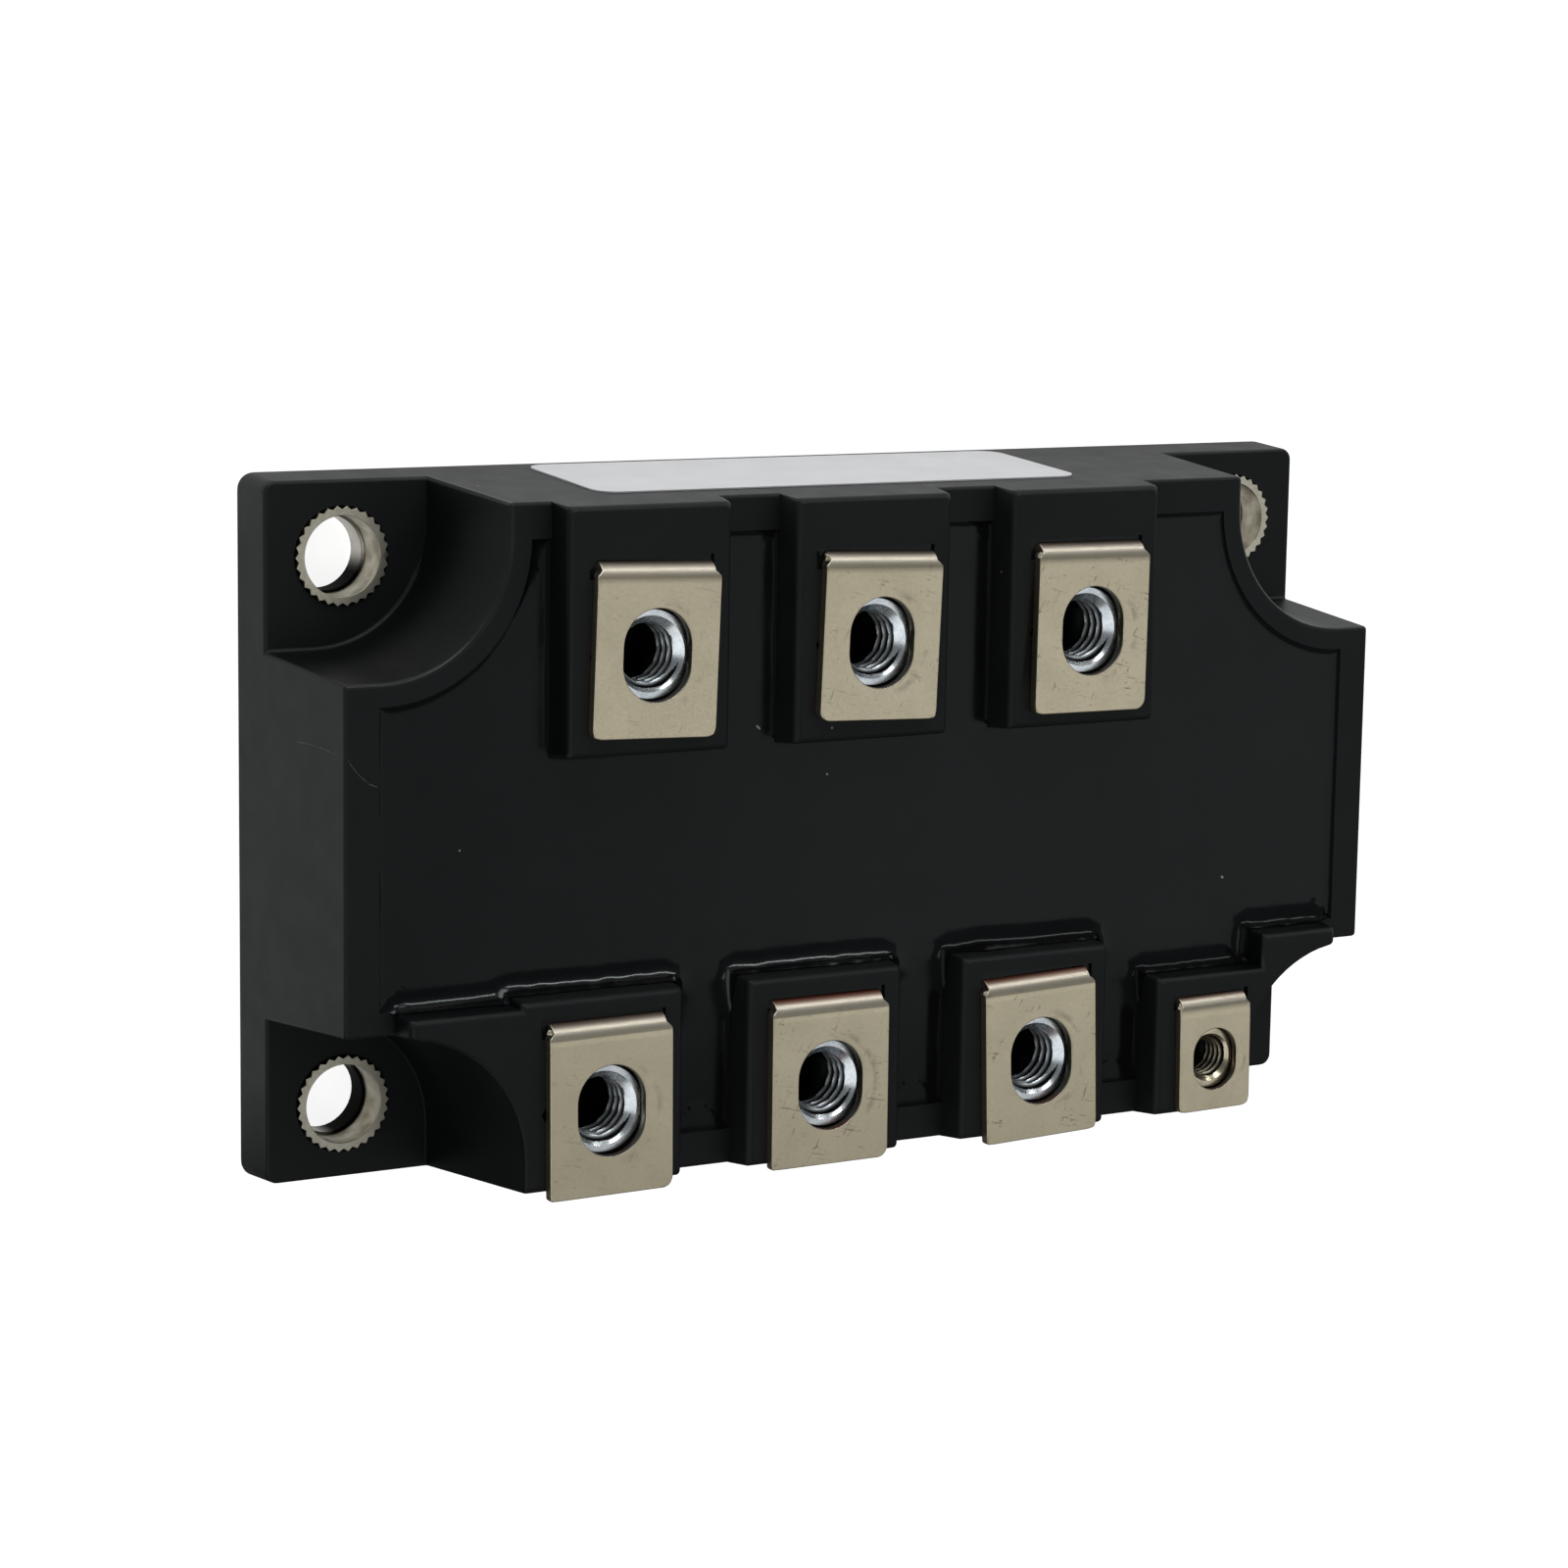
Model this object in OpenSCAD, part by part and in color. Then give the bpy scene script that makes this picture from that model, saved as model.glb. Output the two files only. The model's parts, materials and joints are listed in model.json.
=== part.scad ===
// Power rectifier module: a three-phase diode bridge with one switched output, in a potted case
// Frame: origin at the middle of the seat face, X along the case, +Y to the label side, +Z to the terminals

/* [Case] */
// Length of the case at the seat
case_l = 108; // [104:0.5:116]
// Width of the case at the seat
case_w = 62; // [60:0.5:68]
// Height of the rim above the seat
rim_z = 20; // [18:0.1:24]
// Height of the mounting ears above the seat
ear_z = 5.6; // [5:0.1:8]
// Moulding draft of every wall, in degrees
draft_deg = 4.3; // [2:0.1:5]
// Gap between the case's lower edge and the seat
case_lift = 0.3; // [0.1:0.05:0.6]
// Thickness of the side walls at the rim
wall = 3.1; // [2:0.1:4]
// Thickness of the walls round the notches at the rim
notch_wall = 2.0; // [1.5:0.1:2.4]
// Rounding of the ears' upright corners at the seat
corner_r = 1.5; // [1:0.1:2.5]
// Rounding of the rim's outer edge
rim_r = 0.4; // [0.2:0.1:1]

/* [Mounting] */
// From the ends of the case to the mounting holes
hole_inset_x = 7.5; // [6.5:0.1:8.5]
// From the long sides of the case to the mounting holes
hole_inset_y = 7; // [6:0.1:7.5]
// Diameter of the holes in the base plate
hole_d = 6.5; // [5.5:0.1:7]
// Bore of the sleeves
sleeve_d = 7.0; // [6.5:0.1:7.4]
// Diameter over the knurl of the sleeves
knurl_d = 8.7; // [8.4:0.1:9.4]
// Depth of the knurl's grooves
knurl_depth = 0.3; // [0.2:0.05:0.4]
// Number of teeth in the knurl
knurl_teeth = 30; // [20:1:36]
// How far the sleeves stand above the ears
sleeve_proud = 0.3; // [0:0.05:0.6]
// Thickness of the base plate
base_t = 2.6; // [2:0.1:4]
// Skirt of the case outside the base plate
skirt = 1.6; // [1.2:0.1:2.2]
// Gap round the base plate inside the skirt
base_gap = 0.2; // [0.1:0.05:0.4]
// Rounding of the base plate's corners
base_corner_r = 2; // [1:0.1:4]

/* [Screw notches] */
// Radius of the notches at the ears' height
notch_r = 10.6; // [9.5:0.1:11.5]
// Offset of the notches' centre outwards from the mounting hole, along and across
notch_shift = 2.6; // [2:0.1:3.2]

/* [Bosses] */
// Height of the bosses above the seat
boss_z = 23; // [22:0.1:26]
// Width of the main bosses at the top
boss_w = 15.5; // [14.5:0.1:17]
// Width of the gate boss from its left edge to the gate hole
gate_boss_reach = 5.9; // [5.2:0.1:7]
// Height of the bosses' underside above the seat
boss_floor_z = 8.5; // [8:0.1:10]
// Rounding of the bosses' top edges
boss_r = 0.7; // [0.3:0.1:1]
// From an upper hole to the inner end of its boss
upper_boss_reach = 8.6; // [8:0.1:10]
// Wall between a slot and the inner face of a lower boss
slot_wall = 1.5; // [1.2:0.1:1.8]
// From the side of the case to the inner edge of the raised notch walls
ridge_inset = 17.8; // [17.4:0.1:18.4]
// From the ends of the case to the raised notch walls
ridge_end_inset = 6.2; // [5.5:0.1:8]
// From the end of the case to the root of the raised wall beside the gate boss
ridge_root_inset = 14.5; // [13:0.1:15.5]

/* [Terminals] */
// From the left end of the case to the first upper terminal
upper_left = 28.4; // [28:0.1:29]
// From the right end of the case to the last upper terminal
upper_right = 35.6; // [35:0.1:36.5]
// From the left end of the case to the first lower terminal
lower_left = 24.2; // [24:0.1:25]
// From the right end of the case to the last lower terminal
lower_right = 39.8; // [39:0.1:40.5]
// From the label side of the case at the seat to the upper holes
upper_inset = 14.45; // [14:0.05:15]
// From the opposite side of the case at the seat to the lower holes
lower_inset = 8.5; // [8.2:0.1:9]
// Width of the main plates
plate_w = 11.8; // [11:0.1:13]
// Thickness of the main plates
plate_t = 1.0; // [0.8:0.1:1.2]
// From the hole to the outer face of the fold
fold_reach = 8.05; // [7.6:0.05:8.4]
// From the hole to the free end
end_reach = 7.1; // [6:0.1:7.4]
// Outer radius of the fold
fold_r = 1.5; // [1.3:0.1:2]
// Width of the main plates at the fold
neck_w = 10.9; // [10:0.1:11]
// From the outer face of a fold to the narrow end of its sloping shoulders
shoulder_inset = 0.85; // [0.6:0.05:1.5]
// Rounding of the plates' free corners
plate_corner_r = 1.0; // [0.5:0.1:2]
// Width of the oval hole
oval_w = 6.5; // [6.2:0.1:7]
// Length of the oval hole
oval_l = 8.0; // [7.2:0.1:9]
// Width of the soldered feet
foot_w = 8; // [6:0.1:8.4]
// Length of the soldered feet
foot_l = 6; // [5:0.1:6.4]
// Gap beside a leg and inside its fold
slot_gap = 0.5; // [0.45:0.05:0.7]
// Gap behind a leg
slot_back = 0.3; // [0.2:0.05:0.6]

/* [Gate terminal] */
// From the right end of the case to the gate hole
gate_right = 20.4; // [20:0.1:21]
// From the side of the case at the seat to the gate hole
gate_inset = 6.7; // [6.5:0.1:7]
// Width of the gate plate
gate_w = 7.9; // [7:0.1:8.2]
// Thickness of the gate plate
gate_t = 0.8; // [0.6:0.1:1]
// From the gate hole to the outer face of its fold
gate_fold_reach = 6.1; // [5.8:0.1:6.4]
// From the gate hole to its free end
gate_end_reach = 4.8; // [4.4:0.1:5]
// Outer radius of the gate plate's fold
gate_fold_r = 1.2; // [1:0.1:1.6]
// Width of the gate plate at the fold
gate_neck_w = 7.3; // [6.5:0.1:7.4]
// Width of the gate plate's oval hole
gate_oval_w = 4.8; // [4.4:0.1:5]
// Length of the gate plate's oval hole
gate_oval_l = 5.8; // [5.2:0.1:6]
// Width of the gate plate's soldered foot
gate_foot_w = 2.2; // [1.8:0.1:2.4]
// Length of the gate plate's soldered foot
gate_foot_l = 3; // [2:0.1:3.2]

/* [Nuts] */
// Width across the flats of the main nuts
nut_af = 10; // [9:0.1:10.4]
// Height of the main nuts
nut_h = 4.2; // [3.6:0.1:5.2]
// Tapping bore of the main nuts
nut_bore = 5.0; // [4.8:0.1:5.2]
// Mouth of the main nuts' thread chamfer
nut_mouth = 6.6; // [6:0.1:7]
// How far the main nuts lie below the boss
nut_sink = 0.2; // [0.1:0.1:1]
// Gap between a nut and its pocket on each side
nut_gap = 0.1; // [0.05:0.05:0.25]
// Diameter of the hole below a main nut
screw_relief_d = 7; // [6.4:0.1:8]
// Depth of the hole below a main nut
screw_relief = 5.5; // [4:0.1:6]
// Outer diameter of the gate insert
insert_d = 6.2; // [5.8:0.1:6.4]
// Height of the gate insert
insert_h = 3.2; // [2.8:0.1:5]
// Tapping bore of the gate insert
insert_bore = 3.3; // [3.2:0.05:3.5]
// Mouth of the gate insert's thread chamfer
insert_mouth = 4.6; // [4:0.1:4.8]
// How far the gate insert lies below the boss
insert_sink = 0.1; // [0.1:0.1:0.8]
// Diameter of the hole below the gate insert
gate_relief_d = 4.6; // [4.2:0.1:5]
// Depth of the hole below the gate insert
gate_relief = 4; // [3:0.1:5]

/* [Filling] */
// How far the hard resin lies below the rim
resin_sink = 0.4; // [0.1:0.1:1]
// Height of the soft gel's top above the seat
gel_z = 12; // [10:0.1:15]

/* [Circuit] */
// Thickness of the copper foil under the ceramic tile
back_t = 0.3; // [0.2:0.05:0.4]
// Thickness of the ceramic tile
tile_t = 0.6; // [0.4:0.05:0.8]
// Thickness of the copper tracks
track_t = 0.3; // [0.2:0.05:0.4]
// Border of bare ceramic round the copper
tile_margin = 0.4; // [0.3:0.05:0.6]
// Gap between neighbouring tracks
track_gap = 1.2; // [0.8:0.1:1.4]
// From an input terminal to the left edge of its track
input_reach = 9.2; // [8.8:0.1:9.3]
// Gap between neighbouring input tracks
input_gap = 3.6; // [1.2:0.1:4]
// Width of the minus rail
minus_w = 4; // [3.6:0.1:4.4]
// Width of the plus rail
plus_w = 9.8; // [9.4:0.1:10.6]
// Width of the arm that joins the minus rail to its foot
minus_arm_w = 4.4; // [3.5:0.1:5]
// Side of the diode chips
diode_side = 7; // [6:0.1:7.6]
// Thickness of the chips
chip_t = 0.4; // [0.3:0.05:0.6]
// Side of the thyristor chip
thyristor_side = 7; // [6.4:0.1:7.6]
// Copper beside the gate terminal's foot
gate_land = 0.1; // [0.1:0.05:0.2]
// Thickness of the jumpers
jumper_t = 0.5; // [0.3:0.05:0.6]
// Width of the jumpers
jumper_w = 3; // [2.4:0.1:3.4]
// Clear height of the jumpers above the tracks
jumper_rise = 1.6; // [1.2:0.1:2]
// Length of a jumper's two flat ends
jumper_end = 3; // [2:0.1:3.2]
// Width of the thyristor's strap
strap_w = 2.4; // [1.8:0.1:2.8]
// Width of the gate wire
gate_wire_w = 1; // [0.6:0.1:1.4]
// Length of the gate wire's two flat ends
gate_wire_end = 1.2; // [0.8:0.1:1.4]
// Clear height of the gate wire above its track
gate_wire_rise = 0.9; // [0.8:0.05:1.1]

/* [Label] */
// Length of the label
label_l = 49; // [40:0.5:60]
// Height of the label along the side face
label_h = 15; // [10:0.5:15.5]
// Thickness of the label
label_t = 0.12; // [0.08:0.02:0.14]
// Glue between the label and the case
label_glue = 0.01; // [0.01:0.01:0.02]
// Rounding of the label's corners
label_r = 2; // [0.5:0.1:3]
// Middle of the label along the case
label_x = -3; // [-8:0.5:8]
// Lower edge of the label above the seat
label_z = 2; // [1.9:0.1:2.6]

/* [Hidden] */
$fn = 96;

draft = tan(draft_deg);
// Steps in a rounded edge's quarter turn
edge_steps = 6;
// Overlap of cutting shapes past the faces that they open
over = 1;

// Places of the terminals
upper_y = case_w / 2 - upper_inset;
lower_y = lower_inset - case_w / 2;
gate_x = case_l / 2 - gate_right;
gate_y = gate_inset - case_w / 2;
upper_pitch = (case_l - upper_left - upper_right) / 2;
lower_pitch = (case_l - lower_left - lower_right) / 2;
uppers = [for (i = [0:2]) [upper_left - case_l / 2 + i * upper_pitch, upper_y]];
lowers = [for (i = [0:2]) [lower_left - case_l / 2 + i * lower_pitch, lower_y]];
mains = concat(uppers, lowers);
quarters = [[-1, 1], [1, 1], [-1, -1], [1, -1]];

// Places of the mounting holes, of the notches and of the fillings
hole_x = case_l / 2 - hole_inset_x;
hole_y = case_w / 2 - hole_inset_y;
notch_x = hole_x + notch_shift;
notch_y = hole_y + notch_shift;
ridge_end = case_l / 2 - ridge_end_inset;
ridge_root = case_l / 2 - ridge_root_inset;
ridge_y = case_w / 2 - ridge_inset;
notch_rim_r = notch_r + draft * (rim_z - ear_z);
resin_z = rim_z - resin_sink;
cavity_x = case_l / 2 - draft * rim_z - wall;
cavity_y = case_w / 2 - draft * rim_z - wall;
side_top = case_w / 2 - draft * boss_z;

// Heights inside the case
tile_z = base_t + back_t;
track_z = tile_z + tile_t;
chip_z = track_z + track_t;
jumper_z = chip_z + chip_t;

// Places of the tracks across the case, from the upper feet downwards
tile_hi = upper_y + fold_reach + track_gap;
input_hi = tile_hi - tile_margin;
input_lo = input_hi - foot_l - 2 * track_gap - diode_side - 2 * tile_margin;
minus_hi = input_lo - track_gap;
minus_lo = minus_hi - minus_w;
plus_hi = minus_lo - track_gap;
plus_lo = plus_hi - plus_w;
feet_hi = plus_lo - track_gap;
tile_lo = gate_y + gate_fold_reach - gate_foot_l - track_gap;
feet_lo = tile_lo + tile_margin;

// Places of the tracks and chips along the case
input_w = upper_pitch - input_gap;
copper_left = uppers[0][0] - input_reach;
copper_right = gate_x + gate_foot_w / 2 + gate_land;
input_right = uppers[2][0] - input_reach + input_w;
foot_half = foot_w / 2 + track_gap;
thyristor_half = thyristor_side / 2 + tile_margin;
gate_left = gate_x - gate_foot_w / 2 - gate_land;
plus_right = gate_left - track_gap;
thyristor_x = plus_right - thyristor_half;
output_left = lowers[2][0] - foot_half;
output_right = thyristor_x - thyristor_half - track_gap;
low_diode_x = tile_margin + diode_side / 2 - input_reach;
high_diode_x = input_w * 3 / 4 - input_reach;
low_diode_y = input_hi - foot_l - 2 * track_gap - diode_side / 2;
high_diode_y = (plus_hi + plus_lo) / 2;
thyristor_y = feet_hi - thyristor_side / 2;
strap_y = feet_hi - tile_margin - strap_w / 2;
gate_wire_lo = max(thyristor_y - thyristor_side / 2 + tile_margin, gate_y + gate_fold_reach + track_gap / 2);
gate_wire_y = gate_wire_lo + gate_wire_w / 2;

function arc(x, y, r, a0, a1) =
    [for (i = [0:edge_steps]) let (a = a0 + (a1 - a0) * i / edge_steps) [x + r * cos(a), y + r * sin(a)]];

// Outline across a drafted block: its sides lie at lo and hi at the height top, and its upper edges are round
function crown(lo, hi, foot, top, r) = concat(
    [[hi + draft * (top - foot), foot]],
    arc(hi + draft * r - r / cos(draft_deg), top - r, r, draft_deg, 90),
    arc(lo - draft * r + r / cos(draft_deg), top - r, r, 90, 180 - draft_deg),
    [[lo - draft * (top - foot), foot]]
);

// Outline of a folded terminal seen from its side, with its hole over the origin
function fold_line(reach, end, t, r, foot) = concat(
    [[-end, boss_z], [-end, boss_z + t]],
    arc(reach - r, boss_z + t - r, r, 90, 0),
    arc(reach - r, chip_z + r, r, 0, -90),
    [[reach - foot, chip_z], [reach - foot, chip_z + t]],
    arc(reach - r, chip_z + r, r - t, -90, 0),
    arc(reach - r, boss_z + t - r, r - t, 0, 90)
);

// Outline of a jumper seen from its side: from a chip it rises, spans, and comes down to a track
function jumper_line(span, end, rise) =
    let (
        crest = chip_z + rise,
        lower = [
            [0, jumper_z], [end, jumper_z], [end + rise - chip_t, crest],
            [span - end - rise, crest], [span - end, chip_z], [span, chip_z]
        ]
    )
    concat(lower, [for (i = [len(lower) - 1:-1:0]) lower[i] + [0, jumper_t]]);

module along_x(length) { rotate([90, 0, 90]) linear_extrude(length, center = true) children(); }
module along_y(length) { rotate([90, 0, 0]) linear_extrude(length, center = true) children(); }
module slab(x0, x1, y0, y1, z0, z1) { translate([x0, y0, z0]) cube([x1 - x0, y1 - y0, z1 - z0]); }
module to_quarter(q) { mirror([q[0] < 0 ? 1 : 0, 0, 0]) mirror([0, q[1] < 0 ? 1 : 0, 0]) children(); }
module at_quarters() { for (q = quarters) to_quarter(q) children(); }
module at_holes() { at_quarters() translate([hole_x, hole_y, 0]) children(); }

// Drafted block of the case, with its ears' corners rounded
module case_block() {
    half_x = case_l / 2 - draft * rim_z;
    half_y = case_w / 2 - draft * rim_z;
    difference() {
        intersection() {
            along_y(2 * case_w) polygon(crown(-half_x, half_x, case_lift, rim_z, rim_r));
            along_x(2 * case_l) polygon(crown(-half_y, half_y, case_lift, rim_z, rim_r));
        }
        at_quarters() translate([case_l / 2 - corner_r, case_w / 2 - corner_r, 0]) difference() {
            cube([2 * corner_r, 2 * corner_r, ear_z]);
            cylinder(ear_z, corner_r, corner_r - draft * ear_z);
        }
    }
}

// Conical clearance for one screw head above an ear
module notch() {
    deep = boss_z + over - ear_z;
    top_r = notch_r + draft * deep;
    out = case_l;
    side = [[-notch_r, 0], [out, 0], [out, deep], [-top_r, deep]];
    translate([notch_x, notch_y, ear_z]) {
        cylinder(deep, notch_r, top_r);
        translate([0, out / 2, 0]) along_y(out) polygon(side);
        translate([out / 2, 0, 0]) along_x(out) polygon(side);
    }
}

// Space inside the walls, between two heights
module cavity(z0, z1) {
    r = notch_rim_r + notch_wall;
    difference() {
        slab(-cavity_x, cavity_x, -cavity_y, cavity_y, z0, z1);
        at_quarters() translate([notch_x, notch_y, z0 - over]) {
            cylinder(z1 - z0 + 2 * over, r = r);
            translate([-r, 0, 0]) cube([2 * r, case_w, z1 - z0 + 2 * over]);
            translate([0, -r, 0]) cube([case_l, 2 * r, z1 - z0 + 2 * over]);
        }
    }
}

// One boss: its top spans x0 to x1 and y0 to y1
module boss(x0, x1, y0, y1) {
    intersection() {
        along_y(2 * case_w) polygon(crown(x0, x1, boss_floor_z, boss_z, boss_r));
        along_x(2 * case_l) polygon(crown(y0, y1, boss_floor_z, boss_z, boss_r));
    }
}

module bosses() {
    lower_in = lower_y + fold_reach + slot_back + slot_wall;
    gate_in = gate_y + gate_fold_reach + slot_back + slot_wall;
    for (p = uppers) boss(p[0] - boss_w / 2, p[0] + boss_w / 2, p[1] - upper_boss_reach, side_top);
    for (p = lowers) boss(p[0] - boss_w / 2, p[0] + boss_w / 2, -side_top, lower_in);
    boss(gate_x - gate_boss_reach, ridge_end, -side_top, gate_in);
    boss(-ridge_end, lowers[0][0], -side_top, -ridge_y);
    boss(ridge_root, ridge_end, -side_top, -ridge_y);
}

// Slot that a terminal's leg passes through
module slot(w, reach, t) {
    slab(-w / 2 - slot_gap, w / 2 + slot_gap, reach - t - slot_gap, reach + slot_back,
        boss_floor_z - over, boss_z + over);
}

module case() {
    seat_z = boss_z - nut_sink - nut_h;
    insert_z = boss_z - insert_sink - insert_h;
    pocket_d = (nut_af + 2 * nut_gap) / cos(30);
    base_x = case_l / 2 - skirt;
    base_y = case_w / 2 - skirt;
    color([0.09, 0.09, 0.095]) difference() {
        union() {
            difference() {
                case_block();
                cavity(0, rim_z + over);
            }
            bosses();
        }
        at_quarters() notch();
        slab(-base_x, base_x, -base_y, base_y, -over, base_t);
        at_holes() cylinder(rim_z, d = knurl_d);
        for (p = mains) translate(p) {
            translate([0, 0, seat_z]) cylinder(nut_h + nut_sink + over, d = pocket_d, $fn = 6);
            translate([0, 0, seat_z - screw_relief]) cylinder(screw_relief + over, d = screw_relief_d);
            slot(neck_w, fold_reach, plate_t);
        }
        translate([gate_x, gate_y, 0]) {
            translate([0, 0, insert_z]) cylinder(insert_h + insert_sink + over, d = insert_d);
            translate([0, 0, insert_z - gate_relief]) cylinder(gate_relief + over, d = gate_relief_d);
            slot(gate_neck_w, gate_fold_reach, gate_t);
        }
    }
}

module base_plate() {
    half_x = case_l / 2 - skirt - base_gap;
    half_y = case_w / 2 - skirt - base_gap;
    color([0.72, 0.7, 0.66]) difference() {
        union() {
            slab(base_corner_r - half_x, half_x - base_corner_r, -half_y, half_y, 0, base_t);
            slab(-half_x, half_x, base_corner_r - half_y, half_y - base_corner_r, 0, base_t);
            at_quarters() translate([half_x - base_corner_r, half_y - base_corner_r, 0])
                cylinder(base_t, r = base_corner_r);
        }
        at_holes() translate([0, 0, -over]) cylinder(base_t + 2 * over, d = hole_d);
    }
}

// Straight-knurled bush between the base plate and a screw head
module sleeve(i) {
    tip = knurl_d / 2;
    step = 180 / knurl_teeth;
    teeth = [
        for (k = [0:2 * knurl_teeth - 1])
            let (r = k % 2 == 0 ? tip : tip - knurl_depth) [r * cos(k * step), r * sin(k * step)]
    ];
    h = ear_z + sleeve_proud - base_t;
    color([0.7, 0.68, 0.62])
        translate([quarters[i][0] * hole_x, quarters[i][1] * hole_y, base_t])
            difference() {
                linear_extrude(h) polygon(teeth);
                translate([0, 0, -over]) cylinder(h + 2 * over, d = sleeve_d);
            }
}

// Oval hole along Y through a plate
module oval(w, l) {
    run = (l - w) / 2;
    for (s = [-1, 1]) translate([0, s * run, boss_z - over]) cylinder(2 * over + plate_t, d = w);
    slab(-w / 2, w / 2, -run, run, boss_z - over, boss_z + plate_t + over);
}

// Folded sheet terminal with its hole at the origin: plate, fold, leg and soldered foot
module folded_terminal(w, t, reach, end, r, neck, oval_size, foot) {
    shoulder = reach - shoulder_inset;
    step = (w - neck) / 2;
    trim = [[w / 2, shoulder - step], [w, shoulder - step], [w, reach + over], [neck / 2, reach + over],
        [neck / 2, shoulder]];
    difference() {
        along_x(w) polygon(fold_line(reach, end, t, r, foot[1]));
        oval(oval_size[0], oval_size[1]);
        for (s = [0, 1]) mirror([s, 0, 0]) {
            translate([0, 0, chip_z - over]) linear_extrude(boss_z + t + 2 * over) polygon(trim);
            slab(foot[0] / 2, w, -end, reach + over, chip_z - over, boss_floor_z);
            translate([w / 2 - plate_corner_r, plate_corner_r - end, boss_z - over]) difference() {
                slab(0, w, -w, 0, 0, t + 2 * over);
                cylinder(t + 2 * over, r = plate_corner_r);
            }
        }
    }
}

module main_terminal(p) {
    color([0.68, 0.65, 0.57]) translate(p)
        folded_terminal(plate_w, plate_t, fold_reach, end_reach, fold_r, neck_w,
            [oval_w, oval_l], [foot_w, foot_l]);
}

module terminal_gate() {
    color([0.68, 0.65, 0.57]) translate([gate_x, gate_y])
        folded_terminal(gate_w, gate_t, gate_fold_reach, gate_end_reach, gate_fold_r, gate_neck_w,
            [gate_oval_w, gate_oval_l], [gate_foot_w, gate_foot_l]);
}

// Tapping bore with a chamfered mouth at both ends
module tapped(h, bore, mouth) {
    flare = (mouth - bore) / 2;
    translate([0, 0, -over]) cylinder(h + 2 * over, d = bore);
    cylinder(flare, d1 = mouth, d2 = bore);
    translate([0, 0, h - flare]) cylinder(flare, d1 = bore, d2 = mouth);
}

// Hexagon nut, chamfered on both faces
module nut(p) {
    across = nut_af / cos(30);
    cone_d = nut_af + 2 * nut_h / tan(30);
    color([0.75, 0.78, 0.82]) translate([p[0], p[1], boss_z - nut_sink - nut_h]) difference() {
        intersection() {
            cylinder(nut_h, d = across, $fn = 6);
            cylinder(nut_h, d1 = cone_d, d2 = nut_af);
            cylinder(nut_h, d1 = nut_af, d2 = cone_d);
        }
        tapped(nut_h, nut_bore, nut_mouth);
    }
}

module gate_insert() {
    color([0.78, 0.66, 0.38]) translate([gate_x, gate_y, boss_z - insert_sink - insert_h]) difference() {
        cylinder(insert_h, d = insert_d);
        tapped(insert_h, insert_bore, insert_mouth);
    }
}

// All terminals, for the fillings to close round
module legs() {
    for (p = mains) main_terminal(p);
    terminal_gate();
}

module potting() {
    color([0.03, 0.03, 0.032]) difference() {
        cavity(gel_z, resin_z);
        bosses();
        legs();
    }
}

module gel() {
    color([0.75, 0.78, 0.8, 0.4]) difference() {
        cavity(base_t, gel_z);
        bosses();
        legs();
        substrate();
        substrate_back();
        tracks();
        thyristor();
        cathode_strap();
        gate_wire();
        for (i = [0:5]) {
            diode(i);
            jumper(i);
        }
    }
}

module label() {
    run = label_l / 2 - label_r;
    lift = -label_t - label_glue;
    color([0.93, 0.93, 0.92]) translate([label_x, case_w / 2 - draft * label_z, label_z])
        rotate([90 + draft_deg, 0, 0]) {
            slab(-run, run, 0, label_h, lift, -label_glue);
            slab(-label_l / 2, label_l / 2, label_r, label_h - label_r, lift, -label_glue);
            for (x = [-run, run], y = [label_r, label_h - label_r])
                translate([x, y, lift]) cylinder(label_t, r = label_r);
        }
}

module substrate() {
    color([0.92, 0.91, 0.87])
        slab(copper_left - tile_margin, copper_right + tile_margin, tile_lo, tile_hi, tile_z, track_z);
}

module substrate_back() {
    color([0.72, 0.45, 0.3]) slab(copper_left, copper_right, feet_lo, input_hi, base_t, tile_z);
}

module track(x0, x1, y0, y1) { slab(x0, x1, y0, y1, track_z, chip_z); }

// Etched copper: three input fields, the minus and plus rails, the output field and the gate field
module tracks() {
    color([0.78, 0.48, 0.32]) {
        for (p = uppers) track(p[0] - input_reach, p[0] - input_reach + input_w, input_lo, input_hi);
        union() {
            track(copper_left, input_right, minus_lo, minus_hi);
            track(copper_left, copper_left + minus_arm_w, feet_lo, minus_hi);
            track(copper_left, lowers[0][0] + foot_half, feet_lo, feet_hi);
        }
        union() {
            track(copper_left + minus_arm_w + track_gap, plus_right, plus_lo, plus_hi);
            track(lowers[1][0] - foot_half, lowers[1][0] + foot_half, feet_lo, plus_hi);
            track(thyristor_x - thyristor_half, plus_right, feet_lo, plus_hi);
        }
        track(output_left, output_right, feet_lo, feet_hi);
        track(gate_left, copper_right, feet_lo, gate_wire_y + track_gap);
    }
}

module chip(x, y, side) {
    color([0.35, 0.36, 0.4]) slab(x - side / 2, x + side / 2, y - side / 2, y + side / 2, chip_z, jumper_z);
}

// Diodes 1 to 3 lie on the input fields, 4 to 6 on the plus rail
module diode(i) {
    p = uppers[i % 3];
    if (i < 3) chip(p[0] + low_diode_x, low_diode_y, diode_side);
    else chip(p[0] + high_diode_x, high_diode_y, diode_side);
}

module thyristor() { chip(thyristor_x, thyristor_y, thyristor_side); }

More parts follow.
